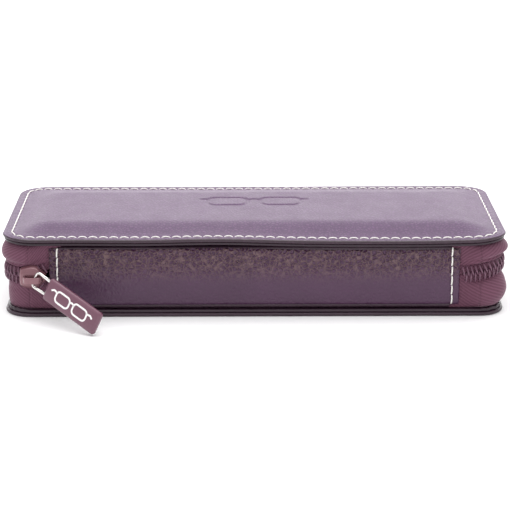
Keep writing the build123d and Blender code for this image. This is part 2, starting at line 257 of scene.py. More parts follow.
def loft(
    name: str, rings: Sequence[Array], material: Material, caps: bool = False, merge: float = 0.0,
    wrap: bool = False, weave: Array | None = None,
) -> Piece:
    """Joins closed rings of equal count into one skin.

    Args:
        name: The piece's name.
        rings: The rings in order, each an array of points.
        material: The finish.
        caps: Whether the first and last rings are closed with a flat face.
        merge: Points nearer than this become one.
        wrap: Whether the last ring joins the first.
        weave: Two numbers for each point, in centimetres, that a cloth pattern follows.

    Returns:
        The new object.
    """
    count, size = len(rings), len(rings[0])
    points = np.concatenate(rings)
    first = np.arange(count if wrap else count - 1)[:, None] * size
    second = np.roll(np.arange(count), -1)[: len(first)][:, None] * size
    here, there = np.arange(size)[None, :], np.roll(np.arange(size), -1)[None, :]
    quads = np.stack([first + here, first + there, second + there, second + here], axis=-1)
    faces = quads.reshape(-1, 4).tolist()
    if caps:
        faces.append(list(range(size))[::-1])
        faces.append(list(range((count - 1) * size, count * size)))
    mesh = bpy.data.meshes.new(name)
    mesh.from_pydata(points.tolist(), [], faces)
    if weave is not None:
        layer = mesh.uv_layers.new(name="weave")
        corners = np.zeros(len(mesh.loops), int)
        mesh.loops.foreach_get("vertex_index", corners)
        layer.data.foreach_set("uv", weave[corners].astype(np.float32).ravel())
    piece = new_object(name, mesh)
    finish_mesh(piece, material, merge)
    return piece


def rounded_section(width: float, height: float, radius: float, steps: int = 4) -> Array:
    """The outline of a rounded rectangle about the origin.

    Args:
        width: Its size along the first axis.
        height: Its size along the second.
        radius: The radius of its corners.
        steps: How many short lines make a corner.

    Returns:
        Rows of two numbers.
    """
    points = []
    for turn, (sx, sy) in enumerate(((1, 1), (-1, 1), (-1, -1), (1, -1))):
        for step in range(steps + 1):
            angle = math.pi / 2 * (turn + step / steps)
            points.append((
                sx * (width / 2 - radius) + radius * math.cos(angle),
                sy * (height / 2 - radius) + radius * math.sin(angle),
            ))
    return np.array(points)


def sweep(
    name: str, path: Array, section: Array, side: Vector, material: Material, closed: bool = False
) -> Piece:
    """Carries a section along a flat path.

    Args:
        name: The piece's name.
        path: The points of the path.
        section: Rows of two numbers: along the side direction, and square to it.
        side: The direction square to the plane of the path.
        material: The finish.
        closed: Whether the path meets its own start.

    Returns:
        The new object.
    """
    count = len(path)
    rings = []
    for number in range(count):
        before = path[number - 1] if closed or number else path[0]
        after = path[(number + 1) % count] if closed or number < count - 1 else path[-1]
        onward = Vector(after - before).normalized()
        across = np.array(side.cross(onward).normalized())
        rings.append(path[number] + section[:, :1] * np.array(side) + section[:, 1:] * across)
    return loft(name, rings, material, caps=not closed, wrap=closed)


def arc_corners(corners: Sequence[Sequence[float]], radius: float, steps: int = 6) -> Array:
    """Rounds the inner corners of a flat or bent line of points.

    Args:
        corners: The points of the line.
        radius: The radius of each rounding.
        steps: How many short lines make one rounding.

    Returns:
        The points of the rounded line.
    """
    points = [Vector(corner) for corner in corners]
    out = [points[0]]
    for before, here, after in zip(points, points[1:], points[2:]):
        back, onward = (before - here).normalized(), (after - here).normalized()
        half = back.angle(onward) / 2
        reach = radius / math.tan(half)
        middle = here + (back + onward).normalized() * (radius / math.sin(half))
        start = (here + back * reach - middle).normalized()
        end = (here + onward * reach - middle).normalized()
        out.extend(middle + start.slerp(end, step / steps) * radius for step in range(steps + 1))
    out.append(points[-1])
    return np.array([tuple(point) for point in out])


def settle(piece: Piece, body: str, slot: str, *nodes: str) -> Piece:
    """Rides a finished piece on its body and hides the nodes that it replaces.

    Args:
        piece: The finished piece.
        body: The body that carries it.
        slot: Not used.
        nodes: The nodes that it replaces.

    Returns:
        The same piece.
    """
    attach(piece, body)
    if nodes:
        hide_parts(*nodes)
    LOG.info("%s rides on %s", piece.name, body)
    return piece


def dress(name: str, material: Material) -> None:
    """Gives a finish to a node that keeps the shape it has in the frame."""
    materials = frame["nodes"][name].data.materials
    materials.clear()
    materials.append(material)
    LOG.info("%s keeps its own shape", name)


def bridge(
    piece: Piece, bodies: tuple[str, str], start: Vector, end: Vector, slot: str, *nodes: str
) -> Piece:
    """Bends a finished piece between two bodies and says which nodes it stands for.

    Args:
        piece: The finished piece.
        bodies: The two bodies that it lies between, which are only named in the log.
        start: Not used.
        end: Not used.
        slot: Not used.
        nodes: The nodes that it replaces.

    Returns:
        The same piece.
    """
    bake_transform(piece)
    if nodes:
        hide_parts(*nodes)
    LOG.info("%s bends between %s and %s", piece.name, *bodies)
    return piece


# ---------------- finishes


class Coordinates(Enum):
    """Where a finish reads its pattern."""

    OBJECT = "Object"
    WEAVE = "UV"


class NodeWork:
    """Short ways to add and join the nodes of one tree."""

    tree: bpy.types.NodeTree

    def add(self, kind: str, **settings: object) -> bpy.types.Node:
        """Adds a node and sets its plain properties."""
        node = self.tree.nodes.new(kind)
        for key, value in settings.items():
            setattr(node, key, value)
        return node

    def join(self, source: Socket, target: Socket) -> None:
        """Joins two sockets."""
        self.tree.links.new(source, target)

    def feed(self, value: object, target: Socket) -> None:
        """Joins a socket to an input, or sets the input to a number or a colour."""
        if isinstance(value, Socket):
            self.join(value, target)
        elif isinstance(value, tuple):
            target.default_value = (*value, 1.0)
        else:
            target.default_value = value

    def math(
        self, operation: str, first: object, second: object = None, clamp: bool = False
    ) -> Socket:
        """Adds a sum of one or two values.

        Args:
            operation: The kind of sum.
            first: A socket or a number.
            second: Another, where the sum has two.
            clamp: Whether the result is kept from 0 to 1.

        Returns:
            The result.
        """
        node = self.add("ShaderNodeMath", operation=operation, use_clamp=clamp)
        self.feed(first, node.inputs[0])
        if second is not None:
            self.feed(second, node.inputs[1])
        return node.outputs[0]


class Recipe(NodeWork):
    """A material under construction, with short ways to make its patterns."""

    def __init__(self, name: str, coordinates: Coordinates = Coordinates.OBJECT) -> None:
        """Starts a material with an empty principled shader.

        Args:
            name: The material's name.
            coordinates: Where its patterns are read.
        """
        self.material = bpy.data.materials.new(name)
        self.material.use_nodes = True
        self.tree = self.material.node_tree
        self.shader = self.tree.nodes["Principled BSDF"]
        source = self.add("ShaderNodeTexCoord")
        self.where = source.outputs[coordinates.value]

    def texture(self, node: bpy.types.Node, where: Socket | None, **inputs: float) -> Socket:
        """Sets a texture's inputs, places it and returns its value.

        Args:
            node: The texture's node.
            where: Where its pattern is read; None stands for the finish's own place.
            inputs: Its numbers by name.

        Returns:
            Its value.
        """
        for key, value in inputs.items():
            node.inputs[key.replace("_", " ")].default_value = value
        self.join(where or self.where, node.inputs["Vector"])
        return node.outputs["Distance" if "Randomness" in inputs else "Fac"]

    def noise(self, scale: float, detail: float = 2.0, rough: float = 0.5, warp: float = 0.0) -> Socket:
        """Adds cloudy noise and returns its value."""
        node = self.add("ShaderNodeTexNoise")
        return self.texture(node, None, Scale=scale, Detail=detail, Roughness=rough, Distortion=warp)

    def cells(
        self, scale: float, feature: str = "F1", jitter: float = 1.0, where: Socket | None = None
    ) -> Socket:
        """Adds a pattern of cells and returns the distance in it."""
        node = self.add("ShaderNodeTexVoronoi", feature=feature)
        return self.texture(node, where, Scale=scale, Randomness=jitter)

    def turned(self, turn: Sequence[float]) -> Socket:
        """Adds a mapping that turns the pattern by three angles, and returns its vector."""
        node = self.add("ShaderNodeMapping")
        node.inputs["Rotation"].default_value = [math.radians(angle) for angle in turn]
        self.join(self.where, node.inputs["Vector"])
        return node.outputs["Vector"]

    def waves(self, scale: float, where: Socket, warp: float, warp_scale: float = 3.0) -> Socket:
        """Adds even bands and returns their value."""
        node = self.add("ShaderNodeTexWave", wave_type="BANDS", bands_direction="X", wave_profile="SIN")
        return self.texture(node, where, Scale=scale, Distortion=warp, Detail_Scale=warp_scale)

    def warped(self, scale: float, amount: float) -> Socket:
        """Returns the pattern's place pushed about by noise, which makes cells less regular."""
        node = self.add("ShaderNodeTexNoise")
        node.inputs["Scale"].default_value = scale
        self.join(self.where, node.inputs["Vector"])
        push = self.add("ShaderNodeVectorMath", operation="MULTIPLY_ADD")
        self.join(node.outputs["Color"], push.inputs[0])
        push.inputs[1].default_value = (amount,) * 3
        self.join(self.where, push.inputs[2])
        return push.outputs[0]

    def height(self, axis: str, low: float, high: float) -> Socket:
        """Returns a value that rises from 0 to 1 between two places along one axis."""
        split = self.add("ShaderNodeSeparateXYZ")
        self.join(self.where, split.inputs[0])
        span = self.add("ShaderNodeMapRange", interpolation_type="SMOOTHSTEP")
        self.join(split.outputs[axis], span.inputs["Value"])
        span.inputs["From Min"].default_value = low
        span.inputs["From Max"].default_value = high
        return span.outputs["Result"]

    def blend(self, share: object, first: object, second: object, kind: str = "MIX") -> Socket:
        """Mixes two colours by a share and returns the result."""
        node = self.add("ShaderNodeMix", data_type="RGBA", blend_type=kind)
        for place, value in ((0, share), (6, first), (7, second)):
            self.feed(value, node.inputs[place])
        return node.outputs[2]

    def mean(self, first: object, second: object, share: float) -> Socket:
        """Adds two values, the first with a share of the whole and the second with the rest."""
        parts = self.math("MULTIPLY", first, share), self.math("MULTIPLY", second, 1.0 - share)
        return self.math("ADD", *parts)

    def span(self, value: Socket, low: float, high: float) -> Socket:
        """Spreads a value from 0 to 1 over a range."""
        node = self.add("ShaderNodeMapRange")
        self.join(value, node.inputs["Value"])
        node.inputs["To Min"].default_value = low
        node.inputs["To Max"].default_value = high
        return node.outputs["Result"]

    def relief(self, layers: Sequence[tuple[object, float]], strength: object = 1.0) -> None:
        """Adds bumps one on another, each a height and how deep it is in metres."""
        normal = None
        for value, depth in layers:
            node = self.add("ShaderNodeBump")
            node.inputs["Distance"].default_value = depth
            self.feed(strength, node.inputs["Strength"])
            self.join(value, node.inputs["Height"])
            if normal is not None:
                self.join(normal, node.inputs["Normal"])
            normal = node.outputs["Normal"]
        self.join(normal, self.shader.inputs["Normal"])

    def set(self, **values: object) -> Material:
        """Sets or joins the shader's inputs by name and returns the material."""
        for key, value in values.items():
            self.feed(value, self.shader.inputs[key.replace("_", " ")])
        return self.material


@dataclass(frozen=True)
class TwoTone:
    """A finish that lies between two colours.

    Attributes:
        name: The material's name.
        dark: The colour in its hollows.
        light: The colour on its heights.
    """

    name: str
    dark: Colour
    light: Colour


@dataclass(frozen=True)
class Leather(TwoTone):
    """Full-grain leather with pebbled grain.

    Attributes:
        pebble: How many pebbles there are to a metre.
        depth: How deep the creases are; below 0 they stand up as ridges.
        gloss: The roughness of its finish.
        fade_low: The height under which the grain is pressed nearly smooth.
        fade_high: The height over which the grain is full.
        tip: The colour of a painted highlight on the ridges of the full grain, which grows with height from
            fade_low to fade_high.
        crease_shade: How light the bottom of a crease stays, with 1 for no shade.
        pressed: The share of the grain's depth that is left where it is pressed.
    """

    pebble: float = 900.0
    depth: float = 0.10 * MM
    gloss: float = 0.42
    fade_low: float | None = None
    fade_high: float | None = None
    tip: Colour | None = None
    crease_shade: float = 0.62
    pressed: float = 0.22

    def make(self) -> Material:
        """Builds the material."""
        recipe = Recipe(self.name)
        warped = recipe.warped(self.pebble * 0.6, 0.9 / self.pebble)
        pebbles = recipe.cells(self.pebble, "F1", 0.9, warped)
        creases = recipe.cells(self.pebble, "DISTANCE_TO_EDGE", 0.9, warped)
        crease = recipe.math("MULTIPLY", creases, 2.6, clamp=True)
        round_top = recipe.math("SUBTRACT", 1.0, pebbles, clamp=True)
        grain = recipe.mean(crease, round_top, 0.65)
        pores = recipe.noise(self.pebble * 4.5, 3.0, 0.6)
        cloud = recipe.noise(38.0, 3.0, 0.55, 0.4)
        patch = recipe.noise(11.0, 2.0, 0.5)
        body = recipe.blend(recipe.span(cloud, 0.1, 0.9), self.dark, self.light)
        body = recipe.blend(recipe.math("MULTIPLY", patch, 0.35), body, self.light)
        shade = recipe.span(crease, self.crease_shade, 1.0)
        rise: object = 1.0
        if self.fade_low is not None:
            rise = recipe.span(recipe.height("Z", self.fade_low, self.fade_high), self.pressed, 1.0)
            if self.tip is not None:
                # Painted highlight: the grain's ridges are lightened towards tip, more strongly higher up
                # between fade_low and fade_high.
                ridge = recipe.math("POWER", recipe.math("SUBTRACT", 1.0, crease, clamp=True), 3.5)
                glint = recipe.math("MULTIPLY", recipe.height("Z", self.fade_low, self.fade_high), ridge)
                body = recipe.blend(recipe.math("MULTIPLY", glint, 0.8), body, self.tip)
        grey = recipe.add("ShaderNodeCombineColor")
        for channel in ("Red", "Green", "Blue"):
            recipe.join(shade, grey.inputs[channel])
        colour = recipe.blend(1.0, body, grey.outputs["Color"], "MULTIPLY")
        wear = recipe.noise(140.0, 4.0, 0.6)
        rough = recipe.math("ADD", recipe.math("MULTIPLY", wear, 0.16), self.gloss - 0.08)
        recipe.relief([(grain, self.depth), (pores, self.depth * 0.16), (cloud, self.depth * 2.0)], rise)
        return recipe.set(Base_Color=colour, Roughness=rough, IOR=1.5)


@dataclass(frozen=True)
class ZipTape(TwoTone):
    """Woven zip tape with a diagonal twill.

    Attributes:
        yarns: How many ribs there are to a centimetre.
    """

    yarns: float = 10.0

    def make(self) -> Material:
        """Builds the material."""
        recipe = Recipe(self.name, Coordinates.WEAVE)
        turned = recipe.turned((0.0, 0.0, 52.0))
        ribs = recipe.waves(self.yarns * math.pi / 10, turned, 0.5)
        crossed = recipe.turned((0.0, 0.0, -30.0))
        picks = recipe.waves(self.yarns * 2.2 * math.pi / 10, crossed, 0.4)
        fuzz = recipe.noise(60.0, 4.0, 0.6)
        cloud = recipe.noise(1.3, 3.0, 0.5)
        yarn = recipe.mean(ribs, picks, 0.7)
        mixed = recipe.mean(yarn, fuzz, 0.7)
        colour = recipe.blend(mixed, self.dark, self.light)
        colour = recipe.blend(recipe.math("MULTIPLY", cloud, 0.3), colour, self.dark)
        recipe.relief([(yarn, 0.10 * MM), (fuzz, 0.03 * MM)])
        recipe.shader.inputs["Sheen Tint"].default_value = (0.9, 0.7, 0.8, 1.0)
        return recipe.set(Base_Color=colour, Roughness=0.78, Sheen_Weight=0.25, Sheen_Roughness=0.4)


@dataclass(frozen=True)
class Thread(TwoTone):
    """Waxed sewing thread, or the plastic of the zip's coil, with a fine twist.

    Attributes:
        twist: How many turns of the twist there are to a metre.
        gloss: Its roughness.
        depth: How deep the twist is.
    """

    twist: float = 2400.0
    gloss: float = 0.55
    depth: float = 0.04 * MM

    def make(self) -> Material:
        """Builds the material."""
        recipe = Recipe(self.name)
        turned = recipe.turned((20.0, 35.0, 40.0))
        strands = recipe.waves(self.twist * math.pi / 20, turned, 0.6)
        dust = recipe.noise(900.0, 3.0, 0.6)
        cloud = recipe.noise(120.0, 2.0, 0.5)
        mixed = recipe.mean(strands, dust, 0.6)
        colour = recipe.blend(mixed, self.dark, self.light)
        colour = recipe.blend(recipe.math("MULTIPLY", cloud, 0.35), colour, self.light)
        recipe.relief([(strands, self.depth)])
        return recipe.set(Base_Color=colour, Roughness=self.gloss)


@dataclass(frozen=True)
class Metal:
    """Metal, either lacquered or bright.

    Attributes:
        name: The material's name.
        base: Its colour.
        worn: Its colour where it is rubbed.
        metallic: 1 for bare metal and 0 for a thick lacquer.
        gloss: Its roughness.
        coat: How much clear lacquer lies on it.
        orange_peel: How deep the ripple of the lacquer is.
    """

    name: str
    base: Colour
    worn: Colour
    metallic: float
    gloss: float
    coat: float = 0.0
    orange_peel: float = 0.01 * MM

    def make(self) -> Material:
        """Builds the material."""
        recipe = Recipe(self.name)
        cloud = recipe.noise(260.0, 3.0, 0.5)
        speck = recipe.noise(1600.0, 2.0, 0.5)
        edge = recipe.add("ShaderNodeNewGeometry").outputs["Pointiness"]
        rubbed = recipe.add("ShaderNodeMapRange")
        recipe.join(edge, rubbed.inputs["Value"])
        rubbed.inputs["From Min"].default_value = 0.52
        rubbed.inputs["From Max"].default_value = 0.62
        share = recipe.math("MULTIPLY", rubbed.outputs["Result"], recipe.span(cloud, 0.4, 1.0), clamp=True)
        colour = recipe.blend(recipe.math("MULTIPLY", cloud, 0.35), self.base, self.worn)
        colour = recipe.blend(share, colour, self.worn)
        rough = recipe.math("ADD", recipe.math("MULTIPLY", speck, 0.12), self.gloss - 0.06)
        recipe.relief([(cloud, self.orange_peel * 4), (speck, self.orange_peel)])
        return recipe.set(
            Base_Color=colour, Roughness=rough, Metallic=self.metallic, Coat_Weight=self.coat,
            Coat_Roughness=0.12,
        )


@dataclass(frozen=True)
class Velvet(TwoTone):
    """Brushed lining cloth, dark down in its pile and light on its tips."""

    def make(self) -> Material:
        """Builds the material."""
        recipe = Recipe(self.name)
        pile = recipe.noise(2600.0, 4.0, 0.7)
        brushed = recipe.noise(70.0, 3.0, 0.6, 1.2)
        patch = recipe.noise(16.0, 2.0, 0.5)
        mixed = recipe.mean(pile, brushed, 0.5)
        colour = recipe.blend(mixed, self.dark, self.light)
        colour = recipe.blend(recipe.math("MULTIPLY", patch, 0.3), colour, self.light)
        recipe.relief([(pile, 0.12 * MM), (brushed, 0.08 * MM)])
        recipe.shader.inputs["Sheen Tint"].default_value = (0.95, 0.82, 0.95, 1.0)
        return recipe.set(Base_Color=colour, Roughness=0.92, Sheen_Weight=0.8, Sheen_Roughness=0.35)


@dataclass(frozen=True)
class Plain(TwoTone):
    """Board or foam that stays inside the covers.

    Attributes:
        grit: How many grains there are to a metre.
        depth: How deep the grains are.
    """

    grit: float = 2400.0
    depth: float = 0.03 * MM

    def make(self) -> Material:
        """Builds the material."""
        recipe = Recipe(self.name)
        grit = recipe.cells(self.grit)
        cloud = recipe.noise(90.0, 4.0, 0.6)
        fleck = recipe.math("MULTIPLY", cloud, recipe.span(grit, 0.5, 1.0))
        colour = recipe.blend(fleck, self.dark, self.light)
        recipe.relief([(grit, self.depth)])
        return recipe.set(Base_Color=colour, Roughness=0.9)


class Finishes:
    """Every finish of the case, made once."""

    def __init__(self) -> None:
        """Makes the materials."""
        self.lid = Leather(
            "lid_leather_grain", (0.092, 0.036, 0.104), (0.135, 0.063, 0.154),
            pebble=820.0, depth=0.08 * MM, gloss=0.50,
        ).make()
        # The base leather also stands as painted shade on the lid's downturned edge and on the outer hinge
        # folds.
        self.base = Leather(
            "base_leather_and_painted_shade", (0.030, 0.011, 0.022), (0.055, 0.023, 0.044),
            pebble=820.0, depth=0.07 * MM, gloss=0.36,
        ).make()
        self.spine = Leather(
            "spine_leather_grain", (0.036, 0.010, 0.032), (0.080, 0.026, 0.074),
            pebble=640.0, depth=-0.9 * MM, gloss=0.36, fade_low=11.5 * MM, fade_high=22.0 * MM,
            # tip: the colour of a painted highlight on the grain's ridges, growing towards the top of the
            # spine.
            tip=(0.17, 0.098, 0.092), crease_shade=0.92,
        ).make()
        self.facing = Leather(
            "facing_leather_grain", (0.018, 0.006, 0.013), (0.042, 0.017, 0.034),
            pebble=1100.0, depth=0.05 * MM, gloss=0.34,
        ).make()
        self.thread = Thread("cream_thread", (0.74, 0.70, 0.66), (0.95, 0.93, 0.90)).make()
        self.tape = ZipTape("twill_tape", (0.072, 0.020, 0.040), (0.195, 0.070, 0.120)).make()
        self.coil = Thread(
            "zip_coil_plastic", (0.085, 0.030, 0.056), (0.165, 0.072, 0.115),
            twist=1500.0, gloss=0.38, depth=0.01 * MM,
        ).make()
        self.slider = Metal(
            "slider_lacquer", (0.175, 0.066, 0.085), (0.32, 0.17, 0.19),
            metallic=0.35, gloss=0.30, coat=0.5,
        ).make()
        self.tag = Metal(
            "tag_lacquer", (0.130, 0.042, 0.074), (0.18, 0.075, 0.115),
            metallic=0.0, gloss=0.34, coat=0.35,
        ).make()
        self.steel = Metal(
            "bright_wire", (0.72, 0.70, 0.68), (0.86, 0.85, 0.83), metallic=1.0, gloss=0.16
        ).make()
        self.print = Metal(
            "white_print", (0.86, 0.84, 0.84), (0.92, 0.91, 0.91),
            metallic=0.0, gloss=0.45, orange_peel=0.003 * MM,
        ).make()
        self.velvet = Velvet("velvet_lining", (0.060, 0.030, 0.052), (0.165, 0.095, 0.150)).make()
        self.board = Plain(
            "grey_board", (0.25, 0.22, 0.19), (0.40, 0.36, 0.31), grit=2400.0, depth=0.03 * MM
        ).make()
        self.foam = Plain(
            "pale_foam", (0.55, 0.50, 0.42), (0.75, 0.71, 0.64), grit=1300.0, depth=0.12 * MM
        ).make()


# ---------------- repeated pieces


class Facing(Enum):
    """Which way the outer side of a repeated piece looks."""

    UP = (0.0, 0.0, 1.0)
    DOWN = (0.0, 0.0, -1.0)
    FRONT = (0.0, -1.0, 0.0)
    OUTWARD = None


@dataclass(frozen=True)
class Bead:
    """One stitch or one turn of the coil, a bent strand with its own small shape.

    X runs along the row, Z looks outwards and Y lies across the row.

    Attributes:
        root: Where the strand starts.
        rise: Where it heads at first.
        fall: Where it comes back from.
        head: Where it ends.
        radius: Half its thickness.
        taper: How much of the thickness is lost at its ends.
    """

    root: tuple[float, float, float]
    rise: tuple[float, float, float]
    fall: tuple[float, float, float]
    head: tuple[float, float, float]
    radius: float
    taper: float

    @classmethod
    def stitch(
        cls, half: float, lean: float, sink: float, shoulder: float, rise: float, radius: float, taper: float
    ) -> "Bead":
        """A stitch that dips into the leather at both ends.

        Args:
            half: Half its length.
            lean: How far to one side its start lies, and to the other side its end.
            sink: How far below the row its ends lie.
            shoulder: How far from its middle it bends.
            rise: How far above the row it heads.
            radius: Half its thickness.
            taper: How much of the thickness is lost at its ends.

        Returns:
            The strand.
        """
        return cls(
            (-half, lean, -sink), (-shoulder, 0.0, rise), (shoulder, 0.0, rise), (half, -lean, -sink),
            radius, taper,
        )

    def mirrored(self) -> "Bead":
        """The same strand turned over across the row."""
        flip = [(x, -y, z) for x, y, z in (self.root, self.rise, self.fall, self.head)]
        return Bead(*flip, self.radius, self.taper)


class BeadRow(NodeWork):
    """Sets a bent strand at even steps along a path with Geometry Nodes."""

    STEPS = 8
    SIDES = 7
    INPUTS = (
        ("Count", "NodeSocketInt"),
        ("Root", "NodeSocketVector"),
        ("Rise", "NodeSocketVector"),
        ("Fall", "NodeSocketVector"),
        ("Head", "NodeSocketVector"),
        ("Strand radius", "NodeSocketFloat"),
        ("Taper", "NodeSocketFloat"),
        ("Finish", "NodeSocketMaterial"),
    )

    def __init__(self, facing: Facing) -> None:
        """Builds the tree for one way of facing.

        Args:
            facing: Which way the strands' outer side looks.
        """
        self.tree = bpy.data.node_groups.new(f"bead_row_{facing.name.lower()}", "GeometryNodeTree")
        sockets = self.tree.interface
        sockets.new_socket("Geometry", in_out="INPUT", socket_type="NodeSocketGeometry")
        self.names = {
            name: sockets.new_socket(name, in_out="INPUT", socket_type=kind).identifier
            for name, kind in self.INPUTS
        }
        sockets.new_socket("Geometry", in_out="OUTPUT", socket_type="NodeSocketGeometry")
        source, target = self.add("NodeGroupInput"), self.add("NodeGroupOutput")
        points = self.add("GeometryNodeCurveToPoints", mode="COUNT")
        line = self.fed("GeometryNodeMeshToCurve", Mesh=source.outputs["Geometry"])
        self.join(line, points.inputs["Curve"])
        self.join(source.outputs["Count"], points.inputs["Count"])
        turn = self.turned(points, facing)
        strand = self.strand(source)
        row = self.add("GeometryNodeInstanceOnPoints")
        self.join(points.outputs["Points"], row.inputs["Points"])
        self.join(strand, row.inputs["Instance"])
        self.join(turn, row.inputs["Rotation"])
        real = self.fed("GeometryNodeRealizeInstances", Geometry=row.outputs[0])
        dressed = self.add("GeometryNodeSetMaterial")
        self.join(real, dressed.inputs["Geometry"])
        self.join(source.outputs["Finish"], dressed.inputs["Material"])
        self.join(dressed.outputs[0], target.inputs["Geometry"])

    def fed(self, kind: str, **inputs: Socket) -> Socket:
        """Adds a node, joins its named inputs and returns its first output."""
        node = self.add(kind)
        for key, value in inputs.items():
            self.join(value, node.inputs[key])
        return node.outputs[0]

    def turned(self, points: bpy.types.Node, facing: Facing) -> Socket:
        """Turns each strand along the row, with its outer side looking outwards.

        Args:
            points: The node that gives the row's points and tangents.
            facing: Which way the outer side looks.

        Returns:
            The rotation of each strand.
        """
        along = self.add("FunctionNodeAlignRotationToVector", axis="X", pivot_axis="AUTO")
        self.join(points.outputs["Tangent"], along.inputs["Vector"])
        outer = self.add("FunctionNodeAlignRotationToVector", axis="Z", pivot_axis="X")
        self.join(along.outputs[0], outer.inputs["Rotation"])
        if facing is Facing.OUTWARD:
            cross = self.add("ShaderNodeVectorMath", operation="CROSS_PRODUCT")
            self.join(points.outputs["Tangent"], cross.inputs[0])
            cross.inputs[1].default_value = (0.0, 0.0, 1.0)
            self.join(cross.outputs[0], outer.inputs["Vector"])
        else:
            outer.inputs["Vector"].default_value = facing.value
        return outer.outputs[0]

    def strand(self, source: bpy.types.Node) -> Socket:
        """Makes the strand itself, thinner towards its ends, from the tree's own inputs."""
        line = self.add("GeometryNodeCurvePrimitiveBezierSegment", mode="POSITION")
        line.inputs["Resolution"].default_value = self.STEPS
        ends = {"Root": "Start", "Rise": "Start Handle", "Fall": "End Handle", "Head": "End"}
        for name, target in ends.items():
            self.join(source.outputs[name], line.inputs[target])
        share = self.add("GeometryNodeSplineParameter").outputs["Factor"]
        swell = self.math("SINE", self.math("MULTIPLY", share, math.pi))
        kept = self.math("SUBTRACT", 1.0, source.outputs["Taper"])
        factor = self.math("ADD", kept, self.math("MULTIPLY", source.outputs["Taper"], swell))
        ring = self.add("GeometryNodeCurvePrimitiveCircle", mode="RADIUS")
        ring.inputs["Resolution"].default_value = self.SIDES
        ring.inputs["Radius"].default_value = 1.0
        tube = self.add("GeometryNodeCurveToMesh")
        self.join(line.outputs[0], tube.inputs["Curve"])
        self.join(self.math("MULTIPLY", factor, source.outputs["Strand radius"]), tube.inputs["Scale"])
        self.join(ring.outputs[0], tube.inputs["Profile Curve"])
        tube.inputs["Fill Caps"].default_value = True
        return tube.outputs[0]

    def lay(
        self, name: str, path: Array, closed: bool, count: int, bead: Bead, finish: Material
    ) -> Piece:
        """Lays a row along a path and keeps it as a plain mesh.

        Args:
            name: The piece's name.
            path: The points of the path.
            closed: Whether the path meets its own start.
            count: How many strands there are.
            bead: The shape of one strand.
            finish: The row's material.

        Returns:
            The finished row.
        """
        steps = [(number, number + 1) for number in range(len(path) - 1)]
        if closed:
            steps.append((len(path) - 1, 0))
        mesh = bpy.data.meshes.new(name + "_path")
        mesh.from_pydata(path.tolist(), steps, [])
        guide = new_object(name + "_path", mesh)
        modifier = guide.modifiers.new("row", "NODES")
        modifier.node_group = self.tree
        values = {
            "Count": count, "Root": bead.root, "Rise": bead.rise, "Fall": bead.fall, "Head": bead.head,
            "Strand radius": bead.radius, "Taper": bead.taper, "Finish": finish,
        }
        for key, value in values.items():
            modifier[self.names[key]] = value
        graph = bpy.context.evaluated_depsgraph_get()
        made = bpy.data.meshes.new_from_object(guide.evaluated_get(graph))
        bpy.data.objects.remove(guide)
        made.name = name
        piece = new_object(name, made)
        finish_mesh(piece, finish)
        return piece

    def sew_round(
        self, name: str, path: RoundedPath, pitch: float, level: Callable[[Array], Array], bead: Bead,
        thread: Material, lead: float = 0.0, samples: int = 600,
    ) -> Piece:
        """Lays a row of stitches all the way round a path.

        Args:
            name: The piece's name.
            path: The path in plan.
            pitch: The distance from stitch to stitch, nearly; a whole number of them fits.
            level: Gives the height of the row at points in plan.
            bead: The shape of one stitch.
            thread: The row's material.
            lead: How many stitches after the middle of the front the first one is.
            samples: How many points the path is drawn with.

        Returns:
            The finished row.
        """
        count = round(path.length / pitch)
        points, _ = path.at((np.arange(samples) / samples + lead / count) * path.length)
        return self.lay(name, np.column_stack([points, level(points)]), True, count, bead, thread)


# ---------------- the shared shape of the case


